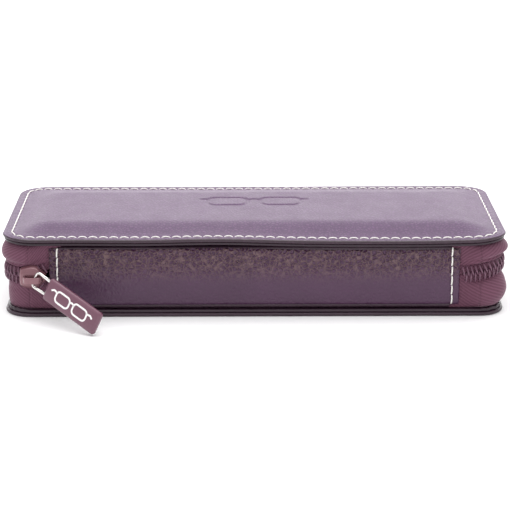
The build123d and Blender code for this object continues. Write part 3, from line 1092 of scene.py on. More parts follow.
@dataclass
class Shape:
    """Sizes and curves that several pieces share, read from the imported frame.

    Attributes:
        sag_depth: How far the lid's front edge droops where it droops most.
        side_sag: How far its sides and back droop.
        stitch_inset: How far inside the covers' edges their seams run.
        mouth_reach: How far short of the wall's end the chain starts to part.
        mouth_half: How far each half of the parted chain stands off the middle.
        mouth_run: The length over which it parts.
    """

    sag_depth: float = 1.5 * MM
    side_sag: float = 0.5 * MM
    stitch_inset: float = 3.55 * MM
    stitch_pitch: float = 3.9 * MM
    coil_pitch: float = 1.64 * MM
    cover_corner: float = 10.0 * MM
    wall_corner: float = 8.5 * MM
    mouth_reach: float = 84.5 * MM
    mouth_half: float = 2.3 * MM
    mouth_run: float = 8 * MM

    def __post_init__(self) -> None:
        """Reads the places that the frame gives."""
        low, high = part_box("lid_leather")
        self.cover = RoundedPath(high.x, (high.y - low.y) / 2, self.cover_corner)
        self.flange, self.lid_top = low.z, high.z
        self.edge_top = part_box("lid_topstitch")[1].z
        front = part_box("spine_board")[0].y
        tape_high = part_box("zip_tape_lower")[1]
        self.wall = RoundedPath(
            tape_high.x, (tape_high.y - front) / 2, self.wall_corner, (tape_high.y + front) / 2
        )
        self.wall_front = front
        self.seam_low, self.seam_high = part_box("bottom_facing")[1].z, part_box("lid_facing")[0].z
        self.middle = (self.seam_low + self.seam_high) / 2
        self.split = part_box("zip_end_tape_right")[1].x
        self.tape_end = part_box("zip_end_tape_right")[0].x
        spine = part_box("spine_leather")
        self.spine_half, self.spine_face, self.spine_low, self.spine_high = (
            spine[1].x, spine[0].y, spine[0].z, spine[1].z
        )
        self.right_corner = self.wall.straight_x + self.wall.corner / 2
        self.left_corner = self.wall.length - self.right_corner

    def sag(self, x: Array, y: Array) -> Array:
        """How far the soft edge of the lid droops.

        Args:
            x: Places along the case.
            y: Places across it.

        Returns:
            The droop at each place.
        """
        front = smooth(-21 * MM, -35 * MM, y)
        x = np.asarray(x, float)
        ends = smooth(self.cover.half_x, self.cover.half_x - 14 * MM, np.abs(x))
        dip = 0.50 + 0.50 * bump(46 * MM, 34 * MM, x) - 0.18 * bump(-12 * MM, 22 * MM, x)
        dip = dip + 0.06 * np.sin(x / (9 * MM))
        sides = smooth(self.cover.half_x - 16 * MM, self.cover.half_x, np.abs(x))
        back = 0.4 * smooth(20 * MM, 35 * MM, y) * bump(-20 * MM, 50 * MM, x)
        return self.sag_depth * front * ends * dip + self.side_sag * (sides * (1 - front) * 0.4 + back)

    def chain_level(self, along: Array) -> Array:
        """The height of the middle of the zip chain along the wall."""
        lift = 3.4 * MM * bump(self.right_corner + 5 * MM, 11.5 * MM, along)
        lift += 0.5 * MM * bump(self.left_corner - 8 * MM, 16 * MM, along)
        lift -= 0.6 * MM * bump(self.wall.length / 2 + 30 * MM, 45 * MM, along)
        return self.middle + lift

    def parting(self, along: Array) -> Array:
        """How far each row of the open chain stands off the middle, between the slider and the spine."""
        mouth = self.wall.length - self.mouth_reach
        return self.mouth_half * smooth(mouth, mouth + self.mouth_run, along)


# ---------------- covers


def glasses_mark(x: Array, y: Array, width: float, stroke: float) -> Array:
    """The share of each place that a plain drawing of a pair of glasses covers.

    Args:
        x: Places along the drawing, from its middle.
        y: Places across it, from its middle.
        width: The width of the whole drawing.
        stroke: The width of its lines.

    Returns:
        1 on a line of the drawing, 0 away from it, and between them at a line's edge.
    """
    lens_x, lens_y, corner = width * 0.185, width * 0.118, width * 0.085
    centre = width * 0.245
    px = np.abs(np.abs(x) - centre) - (lens_x - corner)
    py = np.abs(y) - (lens_y - corner)
    rim = np.hypot(np.maximum(px, 0), np.maximum(py, 0)) + np.minimum(np.maximum(px, py), 0) - corner
    nose = np.hypot(x, y - width * 0.005) - width * 0.062
    nose = np.where((y > width * 0.01) & (np.abs(x) < centre - lens_x + stroke), np.abs(nose), 1.0)
    arm_y = y - lens_y * 0.62 + (np.abs(x) - centre - lens_x) * 0.15
    arm = np.where((np.abs(x) > centre + lens_x - stroke) & (np.abs(x) < width / 2), np.abs(arm_y), 1.0)
    distance = np.minimum(np.minimum(np.abs(rim), nose), arm)
    return smooth(stroke / 2 + 0.25 * MM, stroke / 2 - 0.25 * MM, distance)


@dataclass
class Lid:
    """The padded lid: cover leather, its turned facing, topstitching and lining.

    Attributes:
        crown_start: How far inside the edge the crown starts to rise.
        crown_end: How far inside the edge it has risen.
        skin: How thick the leather is over the foam.
        shade_front_band: How far inside the front edge the leather takes painted shade.
        shade_tilt: The rounded edge takes painted shade where its normal rises less than this.
        edge_drop: How far the leather rolls down towards its edge.
        groove_depth: How deep the stitches draw the leather in.
        welt_height: How high the leather swells between the stitches and the edge.
        welt_offset: How far outside the stitches it does.
    """

    shape: Shape
    finish: Finishes
    samples: int = 1000
    crown_start: float = 3.9 * MM
    crown_end: float = 17.5 * MM
    skin: float = 0.55 * MM
    mark_width: float = 43 * MM
    mark_stroke: float = 1.5 * MM
    mark_depth: float = 0.34 * MM
    mark_y: float = 6.5 * MM
    shade_front_band: float = 1.5 * MM
    shade_tilt: float = 0.62
    edge_drop: float = 0.30 * MM
    groove_depth: float = 0.22 * MM
    groove_width: float = 0.75 * MM
    welt_height: float = 0.09 * MM
    welt_offset: float = 1.7 * MM
    welt_width: float = 0.8 * MM

    def top(self, inset: float, points: Array, stretch: Array, share: Array) -> Array:
        """The height of the outer face of the cover.

        Args:
            inset: How far inside the edge the points lie.
            points: The points in plan.
            stretch: The stretch of the edge that each point belongs to.
            share: The share of that stretch before each point.

        Returns:
            The height of each point.
        """
        shape = self.shape
        x, y = points[:, 0], points[:, 1]
        crown = smooth(self.crown_start, self.crown_end, shape.cover.half_x - np.abs(x))
        crown *= smooth(self.crown_start, self.crown_end, shape.cover.half_y - np.abs(y))
        crown *= (shape.lid_top - shape.edge_top) * (1.0 + 0.03 * np.sin(x / (23 * MM) + 1.0))
        height = shape.edge_top + crown - shape.sag(x, y)
        seam = shape.cover.drawn_in(shape.stitch_inset)
        count = round(seam.length / shape.stitch_pitch)
        holes = 0.5 + 0.5 * np.cos(2 * math.pi * seam.measure(stretch, share) / seam.length * count)
        groove = self.groove_depth * float(bump(shape.stitch_inset, self.groove_width, inset))
        welt = self.welt_height * float(bump(shape.stitch_inset - self.welt_offset, self.welt_width, inset))
        height -= self.edge_drop * smooth(2.6 * MM, 0.3 * MM, inset)
        height += welt * (1.0 - 0.5 * holes) - groove * (0.35 + 0.65 * holes)
        mark = glasses_mark(x, y - self.mark_y, self.mark_width, self.mark_stroke)
        return height - self.mark_depth * mark

    def cover(self) -> Piece:
        """Makes the crowned leather with its rounded edge; faces of the edge that tilt away from the top,
        and a band along the front, take the dark base leather as painted shade.
        """
        shape = self.shape
        thick = shape.edge_top - shape.flange
        along = np.arange(self.samples) * shape.cover.length / self.samples
        stretch, share = shape.cover.walk(along)
        closed = shape.cover.half_y - CLOSED_GAP
        rings = []
        for inset in (closed, 26 * MM, 17 * MM, 14 * MM, 12 * MM, 10.5 * MM, 9.6 * MM):
            points, _ = shape.cover.place(stretch, share, inset)
            rings.append(np.column_stack([points, self.top(inset, points, stretch, share) - self.skin]))
        for inset in (9.3 * MM, 6.0 * MM, 3.0 * MM, 1.2 * MM):
            points, _ = shape.cover.place(stretch, share, inset)
            rings.append(np.column_stack([points, shape.flange - shape.sag(*points.T)]))
        for step in range(1, 8):
            angle = math.pi * (step / 8 - 0.5)
            points, _ = shape.cover.place(stretch, share, thick / 2 * (1 - math.cos(angle)))
            height = shape.flange + thick / 2 * (1 + math.sin(angle)) - shape.sag(*points.T)
            rings.append(np.column_stack([points, height]))
        insets = np.concatenate([np.linspace(0.85, 14.75, 32), np.linspace(15.4, closed / MM, 34)]) * MM
        for inset in insets:
            points, _ = shape.cover.place(stretch, share, inset)
            rings.append(np.column_stack([points, self.top(inset, points, stretch, share)]))
        piece = loft("lid_cover", rings, self.finish.lid, merge=0.02 * MM)
        # Painted shade: faces of the rounded edge that tilt away from the top, and a band along the front,
        # take the dark base leather.
        piece.data.materials.append(self.finish.base)
        for face in piece.data.polygons:
            at_front = face.center.y < self.shade_front_band - shape.cover.half_y
            dark = face.normal.z < self.shade_tilt or at_front
            if dark and face.center.z > shape.flange - shape.sag_depth:
                face.material_index = 1
        return piece

    def foam(self) -> Piece:
        """Makes the foam that fills the crown under the leather."""
        shape = self.shape
        along = np.arange(self.samples // 2) * shape.cover.length / (self.samples // 2)
        stretch, share = shape.cover.walk(along)
        closed = shape.cover.half_y - CLOSED_GAP
        rings = []
        for inset in (closed, 20 * MM, 9.9 * MM):
            points, _ = shape.cover.place(stretch, share, inset)
            rings.append(np.column_stack([points, np.full(len(points), shape.flange + 0.02 * MM)]))
        for inset in np.linspace(9.9 * MM, closed, 16):
            points, _ = shape.cover.place(stretch, share, inset)
            under = self.top(inset, points, stretch, share) - self.skin - 0.12 * MM
            rings.append(np.column_stack([points, np.maximum(under, shape.flange + 0.04 * MM)]))
        return loft("lid_foam_pad", rings, self.finish.foam, merge=0.02 * MM)

    def topstitches(self, row: BeadRow) -> Piece:
        """Sews the row of stitches that follows the lid's edge."""
        shape = self.shape
        bead = Bead.stitch(
            half=1.50 * MM, lean=0.12 * MM, sink=0.16 * MM, shoulder=0.85 * MM, rise=0.42 * MM,
            radius=0.60 * MM, taper=0.55,
        )
        return row.sew_round(
            "lid_topstitches", shape.cover.drawn_in(shape.stitch_inset), shape.stitch_pitch,
            lambda points: shape.edge_top - shape.sag(*points.T) - 0.16 * MM,
            bead, self.finish.thread, lead=0.5,
        )

    def facing(self) -> Piece:
        """Makes the turned strip of leather under the lid's edge."""
        return edge_strip(
            "lid_edge_facing", self.shape, "lid_facing", self.finish.facing,
            lambda points: -self.shape.sag(*points.T)
            * smooth(9.5 * MM, 5 * MM, 36 * MM - np.abs(points[:, 1])),
        )

    def lining(self) -> Piece:
        """Makes the velvet that lines the lid."""
        return pad("lid_lining_velvet", "lid_lining", self.finish.velvet, up=-1.0, crown=0.15 * MM)

    def build(self, rows: dict[Facing, BeadRow]) -> None:
        """Makes every piece of the lid and rides it."""
        settle(self.cover(), "lid", "cover_leather", "lid_leather")
        settle(self.foam(), "lid", "foam", "lid_foam")
        settle(self.topstitches(rows[Facing.UP]), "lid", "cream_thread", "lid_topstitch")
        settle(self.facing(), "lid", "facing_leather", "lid_facing")
        settle(self.lining(), "lid", "lining", "lid_lining")


def edge_strip(
    name: str, shape: Shape, node: str, finish: Material, lift: Callable[[Array], Array],
    pleat: float = 0.0,
) -> Piece:
    """Makes a turned strip of leather with a rounded outer edge that follows a cover's edge.

    Args:
        name: The piece's name.
        shape: The shared shape of the case.
        node: The node that gives its place.
        finish: The material.
        lift: How far its points are raised, given in plan.
        pleat: How deep the pleats are where the leather is turned round a corner.

    Returns:
        The finished strip.
    """
    low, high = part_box(node)
    setback, width = shape.cover.half_x - high.x, 9.0 * MM
    thick = high.z - low.z
    profile = [(width, 0.0), (width, 1.0), (5.5 * MM, 1.0), (3.0 * MM, 1.0), (1.6 * MM, 1.0)]
    for step in range(9):
        angle = math.pi * (0.5 - step / 8)
        profile.append((setback + thick / 2 * (1 - math.cos(angle)), 0.5 + 0.5 * math.sin(angle)))
    profile.extend([(1.6 * MM, 0.0), (5.5 * MM, 0.0)])
    samples = 900
    along = np.arange(samples) * shape.cover.length / samples
    stretch, share = shape.cover.walk(along)
    corner = np.where(stretch % 2 == 1, np.sin(math.pi * share) ** 0.5, 0.0)
    folds = np.abs(np.sin(along / (1.05 * MM) + 1.3 * np.sin(along / (4.1 * MM)))) ** 0.7
    rings = []
    for inset, share_up in profile:
        edge = float(smooth(5.0 * MM, 0.8 * MM, inset)) * corner * pleat * folds
        points, outward = shape.cover.place(stretch, share, inset)
        points = points - outward * edge[:, None] * 0.8
        height = low.z + thick * share_up + edge * (share_up - 0.2) + lift(points)
        rings.append(np.column_stack([points, height]))
    return loft(name, rings, finish, wrap=True)


def pad(
    name: str, node: str, finish: Material, up: float, crown: float, skirt: float = 0.0,
    corner: float = 6.0 * MM, samples: int = 360,
) -> Piece:
    """Makes a crowned pad in the place of a flat node.

    Args:
        name: The piece's name.
        node: The node that gives its place.
        finish: The material.
        up: 1 if the soft side looks up, and -1 if it looks down.
        crown: How far its middle stands proud of the node.
        skirt: How far its back reaches past the node.
        corner: The radius of its corners.
        samples: How many points each ring has.

    Returns:
        The finished pad.
    """
    low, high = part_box(node)
    path = RoundedPath.within(low, high, corner)
    near, far = (low.z, high.z) if up > 0 else (high.z, low.z)
    back = near - up * skirt
    thick = abs(far - back)
    half = path.half_y - CLOSED_GAP
    rings = [path.loop(samples, inset, back) for inset in (half, half * 0.5, 2.0 * MM, 0.6 * MM)]
    for step in range(1, 6):
        angle = math.pi / 2 * step / 6
        inset = thick * 0.6 * (1 - math.cos(math.pi / 2 - angle)) * 0.5
        rings.append(path.loop(samples, inset, back + up * thick * 0.75 * math.sin(angle)))
    for inset in np.concatenate([np.linspace(0.8, 9.0, 9) * MM, np.linspace(11 * MM, half, 12)]):
        ring = path.loop(samples, inset, 0.0)
        rise = float(smooth(0.0, 9 * MM, inset))
        ripple = 0.05 * MM * np.sin(ring[:, 0] / (7 * MM)) * np.sin(ring[:, 1] / (9 * MM)) * rise
        ring[:, 2] = back + up * (thick * (0.75 + 0.25 * rise) + crown * rise) + up * ripple
        rings.append(ring)
    return loft(name, rings, finish, merge=0.02 * MM)


@dataclass
class Base:
    """The bottom cover: leather, its turned facing, the seam under it and the lining."""

    shape: Shape
    finish: Finishes
    samples: int = 900
    groove: float = 0.55 * MM
    seam_height: float = 0.42 * MM

    def cover(self) -> Piece:
        """Makes the flat leather that the case stands on, with a groove for its seam."""
        shape = self.shape
        low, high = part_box("bottom_leather")
        thick, path = high.z - low.z, shape.cover
        closed = (path.half_y - CLOSED_GAP) / MM
        rings = []
        for inset in (closed, 24.0, 12.0, 6.0, 4.6, 4.2, 3.9, 3.55, 3.2, 2.9, 2.5, 2.0, 1.4):
            depth = self.groove * float(bump(shape.stitch_inset, 0.45 * MM, inset * MM))
            rings.append(path.loop(self.samples, inset * MM, low.z + depth))
        for step in range(9):
            angle = math.pi * (step / 8 - 0.5)
            inset = 0.9 * MM * (1 - math.cos(angle))
            rings.append(path.loop(self.samples, inset, low.z + thick / 2 * (1 + math.sin(angle))))
        for inset in (1.4, 6.0, 9.2, 20.0, closed):
            rings.append(path.loop(self.samples, inset * MM, high.z))
        return loft("bottom_cover", rings, self.finish.base, merge=0.02 * MM)

    def seam(self, row: BeadRow) -> Piece:
        """Sews the seam that lies in the groove under the case."""
        shape = self.shape
        bead = Bead.stitch(
            half=1.6 * MM, lean=0.1 * MM, sink=0.25 * MM, shoulder=0.8 * MM, rise=0.12 * MM,
            radius=0.30 * MM, taper=0.35,
        )
        return row.sew_round(
            "bottom_seam_stitches", shape.cover.drawn_in(shape.stitch_inset), shape.stitch_pitch,
            lambda points: np.full(len(points), self.seam_height), bead, self.finish.thread,
        )

    def build(self, rows: dict[Facing, BeadRow]) -> None:
        """Makes every piece of the bottom cover and rides it."""
        settle(self.cover(), "base", "bottom_leather", "bottom_leather")
        settle(self.seam(rows[Facing.DOWN]), "base", "cream_thread", "bottom_topstitch")
        facing = edge_strip(
            "bottom_edge_facing", self.shape, "bottom_facing", self.finish.facing,
            lambda points: np.zeros(len(points)), pleat=0.55 * MM,
        )
        settle(facing, "base", "facing_leather", "bottom_facing")
        low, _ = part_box("bottom_foam")
        lining_low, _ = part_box("bottom_lining")
        velvet = pad(
            "bottom_lining_velvet", "bottom_lining", self.finish.velvet, up=1.0, crown=0.2 * MM,
            skirt=lining_low.z - low.z,
        )
        settle(velvet, "base", "lining", "bottom_lining", "bottom_foam")


# ---------------- zip


@dataclass
class ZipWall:
    """The wall of the case: two strips of woven tape and the coil chain between them."""

    shape: Shape
    finish: Finishes
    cloth: float = 0.5 * MM
    foot: float = 4.6 * MM
    coil_half: float = 3.1 * MM
    step: float = 0.8 * MM

    def bulge(self, along: Array, upper: bool) -> Array:
        """How far the tape swells out past its seams.

        Args:
            along: Distances along the wall.
            upper: Whether it is the lid's tape or the base's.

        Returns:
            The swell at each distance.
        """
        shape = self.shape
        seam, flat = shape.spine_half + 0.5 * MM, shape.split + 1 * MM
        hidden = smooth(seam, flat, along) * smooth(seam, flat, shape.wall.length - along)
        ripple = 0.25 * MM * np.sin(along / (11 * MM)) + 0.12 * MM * np.sin(along / (4.3 * MM) + 0.8)
        plain, right, left, right_reach, left_reach = (
            np.array((0.9, 2.1, 2.3, 13, 13) if upper else (0.8, 2.3, 0.1, 14, 12)) * MM
        )
        swell = plain + right * bump(shape.right_corner, right_reach, along)
        swell = swell + left * bump(shape.left_corner, left_reach, along)
        return (swell + ripple) * hidden

    def outline(self, along: float, upper: bool) -> tuple[Array, Array]:
        """Draws one section through the tape.

        Args:
            along: Its distance along the wall.
            upper: Whether it is the lid's tape or the base's.

        Returns:
            The outward places and the heights of points on its outer face.
        """
        shape = self.shape
        side = 1.0 if upper else -1.0
        level = float(shape.chain_level(along))
        gap = float(shape.parting(along))
        point, _ = shape.wall.at(np.array([along]))
        seam = shape.seam_high - float(shape.sag(point[0, 0], point[0, 1])) if upper else shape.seam_low
        start = level + side * (0.06 * MM + gap)
        top = level + side * (self.coil_half + 0.2 * MM + gap)
        seam -= side * 0.1 * MM
        under = np.linspace(start, top, 4, endpoint=False)
        share = np.linspace(0.0, 1.0, 22)
        heights = np.concatenate([under, top + (seam - top) * share])
        swell = float(self.bulge(np.array([along]), upper)[0])
        out = swell * np.sin(math.pi * share) ** 0.8
        fold = float(bump(shape.right_corner, 10 * MM, along) + bump(shape.left_corner, 10 * MM, along))
        if upper:
            place = 0.20 + 0.06 * math.sin(along / (6 * MM))
            dent, ridge = bump(place, 0.075, share), bump(place - 0.13, 0.07, share)
            out = (out + fold * (0.7 * MM * ridge - 0.9 * MM * dent)) * smooth(-0.02, 0.03, share)
        else:
            place = 0.30 + 0.07 * math.sin(along / (5 * MM))
            out = out - fold * 0.25 * MM * bump(place, 0.10, share)
        crease = 0.10 * MM * np.sin(along / (2.6 * MM) + share * 5.0) * np.sin(math.pi * share) * fold
        return np.concatenate([np.zeros(4), out + crease]), heights

    def tape(self, name: str, start: float, end: float, upper: bool, foot: bool) -> Piece:
        """Makes a stretch of tape.

        Args:
            name: The piece's name.
            start: Where it starts along the wall.
            end: Where it ends.
            upper: Whether it is the lid's tape or the base's.
            foot: Whether its edge turns inwards under the facing.

        Returns:
            The finished tape.
        """
        side = 1.0 if upper else -1.0
        rings, weave = [], []
        for along in np.linspace(start, end, max(int((end - start) / self.step), 4)):
            out, heights = self.outline(along, upper)
            inner_out, inner_heights = out - self.cloth, heights.copy()
            if foot:
                out = np.append(out, [-self.foot * 0.5, -self.foot])
                heights = np.append(heights, [heights[-1]] * 2)
                inner_out = np.append(inner_out, [-self.foot * 0.5, -self.foot])
                inner_heights = np.append(inner_heights, [inner_heights[-1] - side * self.cloth] * 2)
                inner_heights[-3] -= side * self.cloth
            section_out = np.concatenate([out, inner_out[::-1]])
            section_up = np.concatenate([heights, inner_heights[::-1]])
            point, outward = self.shape.wall.at(np.full(len(section_out), along))
            rings.append(np.column_stack([point + outward * section_out[:, None], section_up]))
            steps = np.hypot(np.diff(section_out), np.diff(section_up))
            across = np.concatenate([[0.0], np.cumsum(steps)])
            weave.append(np.column_stack([np.full(len(across), along), across]) * 100)
        return loft(name, rings, self.finish.tape, caps=True, weave=np.concatenate(weave))

    def coil(self, name: str, start: float, end: float, upper: bool, row: BeadRow) -> Piece:
        """Makes a stretch of the coil, which is one of the two halves of the chain.

        Args:
            name: The piece's name.
            start: Where it starts along the wall.
            end: Where it ends.
            upper: Whether it is the lid's half or the base's.
            row: What sets its turns along the wall.

        Returns:
            The finished coil.
        """
        shape = self.shape
        side = 1.0 if upper else -1.0
        pitch = shape.coil_pitch
        first = math.ceil(start / pitch) + (0.0 if upper else 0.5)
        count = max(int((end - first * pitch) / pitch) + 1, 2)
        along = np.linspace(first * pitch, (first + count - 1) * pitch, count * 2 - 1)
        points, outward = shape.wall.at(along)
        points = points + outward * 0.1 * MM
        height = shape.chain_level(along) + side * shape.parting(along)
        bead = Bead(
            (-0.32 * MM, 3.05 * MM, 0.15 * MM), (-0.30 * MM, 3.25 * MM, 1.66 * MM),
            (0.34 * MM, -0.75 * MM, 1.86 * MM), (0.30 * MM, -0.45 * MM, 0.35 * MM), 0.41 * MM, 0.12,
        )
        if not upper:
            bead = bead.mirrored()
        path = np.column_stack([points, height])
        return row.lay(name, path, False, count, bead, self.finish.coil)

    def build(self, rows: dict[Facing, BeadRow]) -> None:
        """Makes the tapes and coils, and the short stretches at their front ends between the spine and the
        lid or the base.
        """
        shape, row = self.shape, rows[Facing.OUTWARD]
        length = shape.wall.length
        begin = shape.split + 0.1 * MM
        for upper, body, tape_node, chain_node in (
            (True, "lid", "zip_tape_upper", "zip_chain_upper"),
            (False, "base", "zip_tape_lower", "zip_chain_lower"),
        ):
            level = "upper" if upper else "lower"
            cloth = self.tape(f"tape_{level}", begin, length - begin, upper, True)
            settle(cloth, body, "zip_tape", tape_node)
            teeth = self.coil(f"coil_{level}", begin, length - begin, upper, row)
            settle(teeth, body, "zip_coil", chain_node)
            for hand, start, end in (
                ("right", shape.tape_end, begin), ("left", length - begin, length - shape.tape_end)
            ):
                turn = 1.0 if hand == "right" else -1.0
                held = Vector((turn * (shape.spine_half + 0.2 * MM), 0, 0))
                free = Vector((turn * begin, 0, 0))
                pair = ("spine", body)
                cloth = self.tape(f"tape_end_{level}_{hand}", start, end, upper, False)
                bridge(cloth, pair, held, free, "zip_tape", f"zip_end_tape_{hand}")
                edge = shape.spine_half + 0.4 * MM
                first, last = (edge, end) if hand == "right" else (start, length - edge)
                teeth = self.coil(f"coil_end_{level}_{hand}", first, last, upper, row)
                bridge(teeth, pair, held, free, "zip_coil", f"zip_end_chain_{hand}")


# ---------------- spine


@dataclass
class Spine:
    """The leather spine with its two seams, its lining and the folds that hinge it."""

    shape: Shape
    finish: Finishes
    columns: int = 300
    rows: int = 56
    belly: float = 0.45 * MM
    edge_round: float = 0.8 * MM
    roll: float = 1.6 * MM
    roll_depth: float = 1.1 * MM
    gap_low: float = 1.15 * MM
    gap_high: float = 1.1 * MM
    seam_depth: float = 0.28 * MM
    fold_thick: float = 0.5 * MM

    def face(self, x: Array, z: Array) -> Array:
        """How far back the outer face lies behind its flat place.

        Args:
            x: Places along the spine.
            z: Heights.

        Returns:
            The distance back from the flat face; below 0 the leather bellies forward.
        """
        shape = self.shape
        seam_x = (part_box("spine_stitch_right")[0].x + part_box("spine_stitch_right")[1].x) / 2
        middle, half = (shape.spine_low + shape.spine_high) / 2, (shape.spine_high - shape.spine_low) / 2
        bulge = self.belly * (1 - ((z - middle) / half) ** 2) * smooth(seam_x, seam_x - 14 * MM, np.abs(x))
        back = -bulge + 0.05 * MM * np.sin(x / (17 * MM) + z / (5 * MM))
        across = np.clip((np.abs(x) - (shape.spine_half - self.edge_round)) / self.edge_round, 0, 1)
        back = back + self.edge_round * 0.7 * (1 - np.sqrt(1 - across**2))
        up = np.clip((z - (shape.spine_high - self.gap_high - self.roll)) / self.roll, 0, 1)
        down = np.clip((shape.spine_low + self.gap_low + self.roll - z) / self.roll, 0, 1)
        back = back + self.roll_depth * (1 - np.sqrt(1 - np.maximum(up, down) ** 2))
        pitch = shape.stitch_pitch
        holes = 0.5 + 0.5 * np.cos(2 * math.pi * (z - shape.spine_low - 1.4 * MM) / pitch)
        groove = bump(seam_x, 0.55 * MM, np.abs(x))
        back = back + self.seam_depth * groove * (0.45 + 0.55 * holes)
        return back - 0.15 * MM * bump(seam_x + 1.5 * MM, 0.9 * MM, np.abs(x))

    def cover(self) -> Piece:
        """Makes the leather of the spine."""
        shape = self.shape
        half = shape.spine_half
        low, high = shape.spine_low + self.gap_low, shape.spine_high - self.gap_high
        x = half * np.sin(np.linspace(-math.pi / 2, math.pi / 2, self.columns)) * 0.35
        x = x + np.linspace(-half, half, self.columns) * 0.65
        back_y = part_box("spine_leather")[1].y
        rings = []
        droop = shape.sag(x, np.full(len(x), shape.spine_face))
        for share in np.linspace(0, 1, self.rows):
            z = low + (high - low) * share
            front = shape.spine_face + self.face(x, np.full(len(x), z))
            level = z - droop * share**4 * 0.8
            outer = np.column_stack([x, front, level])
            inner = np.column_stack([x, np.full(len(x), back_y), level])[::-1]
            rings.append(np.concatenate([outer, inner]))
        return loft("spine_cover", rings, self.finish.spine, caps=True)

    def seam(self, hand: str, row: BeadRow) -> Piece:
        """Sews one of the two upright seams."""
        shape = self.shape
        low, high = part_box(f"spine_stitch_{hand}")
        x = (low.x + high.x) / 2
        count = round((high.z - low.z) / shape.stitch_pitch)
        step = (high.z - low.z) / count
        z = np.linspace(low.z + step / 2, high.z - step / 2, count)
        lean = (1 if hand == "left" else -1) * 0.35 * MM
        path = np.column_stack([
            x + lean * (z - z.mean()) / (high.z - low.z), np.full(count, shape.spine_face + 0.10 * MM), z
        ])
        bead = Bead.stitch(
            half=1.55 * MM, lean=0.1 * MM, sink=0.2 * MM, shoulder=0.9 * MM, rise=0.75 * MM,
            radius=0.50 * MM, taper=0.40,
        )
        return row.lay(f"spine_seam_{hand}", path, False, count, bead, self.finish.thread)

    def board(self) -> Piece:
        """Makes the board that stiffens the spine, shorter than the leather at both ends."""
        low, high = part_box("spine_board")
        bottom = low.z + self.gap_low + 0.4 * MM
        top = high.z - self.gap_high - self.shape.sag_depth - 0.4 * MM
        middle = (low.y + high.y) / 2
        line = np.array([(low.x, middle, (bottom + top) / 2), (high.x, middle, (bottom + top) / 2)])
        section = rounded_section(top - bottom, (high.y - low.y) * 0.96, 0.2 * MM, 2)
        return sweep("spine_stiffener", line, section, Vector((0, 0, 1)), self.finish.board)

    def lining(self) -> Piece:
        """Makes the velvet on the inside of the spine."""
        low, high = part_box("spine_lining")
        x = np.linspace(low.x, high.x, 90)
        rings = []
        for z in np.linspace(low.z, high.z - self.shape.sag_depth, 16):
            share = (z - low.z) / (high.z - low.z)
            swell = 0.18 * MM * math.sin(math.pi * share)
            inner = np.column_stack([x, high.y + swell * np.cos(x / (20 * MM)) ** 2, np.full(90, z)])
            outer = np.column_stack([x, np.full(90, low.y), np.full(90, z)])
            rings.append(np.concatenate([outer, inner[::-1]]))
        return loft("spine_lining_velvet", rings, self.finish.velvet, caps=True)

    def fold(
        self, name: str, corners: Sequence[tuple[float, float]], half: float, finish: Material
    ) -> Piece:
        """Makes a soft strip along the case that lies across a hinge between two bodies.

        Args:
            name: The piece's name.
            corners: The strip's route square to the case's length, as places along Y and heights.
            half: Half the strip's length.
            finish: The material.

        Returns:
            The finished strip.
        """
        line = arc_corners([(0.0, y, z) for y, z in corners], 0.9 * MM, 5)
        spans = [np.linspace(here, there, 4, endpoint=False) for here, there in zip(line, line[1:])]
        path = np.vstack([*spans, line[-1]])
        section = rounded_section(2 * half, self.fold_thick, self.fold_thick * 0.45, 3)
        return sweep(name, path, section, Vector((1, 0, 0)), finish)

    def build(self, rows: dict[Facing, BeadRow]) -> None:
        """Makes every piece of the spine and the folds at its two hinges."""
        shape = self.shape
        settle(self.cover(), "spine", "cover_leather", "spine_leather")
        settle(self.board(), "spine", "board", "spine_board")
        for hand in ("left", "right"):
            settle(self.seam(hand, rows[Facing.FRONT]), "spine", "cream_thread", f"spine_stitch_{hand}")
        settle(self.lining(), "spine", "lining", "spine_lining")
        face, inner = shape.spine_face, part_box("spine_lining")[1].y
        low, high = shape.spine_low, shape.spine_high
        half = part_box("spine_board")[1].x
        lid_level = high - shape.sag_depth
        # The outer folds take the dark base leather, which paints shade into the creases at the two hinges.
        leather, velvet = (self.finish.base, "facing_leather"), (self.finish.velvet, "lining")
        lid_edge, base_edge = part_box("lid_lining")[0].y + 1 * MM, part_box("bottom_lining")[0].y + 1 * MM
        pieces = (
            ("outer_fold_lid", ("spine", "lid"), half + 2 * MM, leather, [
                (face + 0.7 * MM, high - 3.2 * MM), (face + 0.8 * MM, lid_level),
                (face + 2.6 * MM, lid_level + 0.5 * MM),
            ]),
            ("outer_fold_base", ("spine", "base"), half + 2 * MM, leather, [
                (face + 0.7 * MM, low + 2.2 * MM), (face + 0.8 * MM, low + 0.1 * MM),
                (face + 2.6 * MM, low - 0.2 * MM),
            ]),
            ("inner_fold_lid", ("spine", "lid"), half, velvet, [
                (inner - 0.1 * MM, high - 4.4 * MM), (inner + 0.4 * MM, lid_level - 0.2 * MM),
                (lid_edge, shape.seam_high - 0.4 * MM),
            ]),
            ("inner_fold_base", ("spine", "base"), half, velvet, [
                (inner - 0.1 * MM, low + 4.0 * MM), (inner + 0.4 * MM, low + 0.5 * MM),
                (base_edge, low + 0.3 * MM),
            ]),
        )
        for name, bodies, reach, (finish, slot), corners in pieces:
            piece = self.fold(name, corners, reach, finish)
            start, end = Vector((0, *corners[0])), Vector((0, *corners[-1]))
            bridge(piece, bodies, start, end, slot)


# ---------------- divider leaf


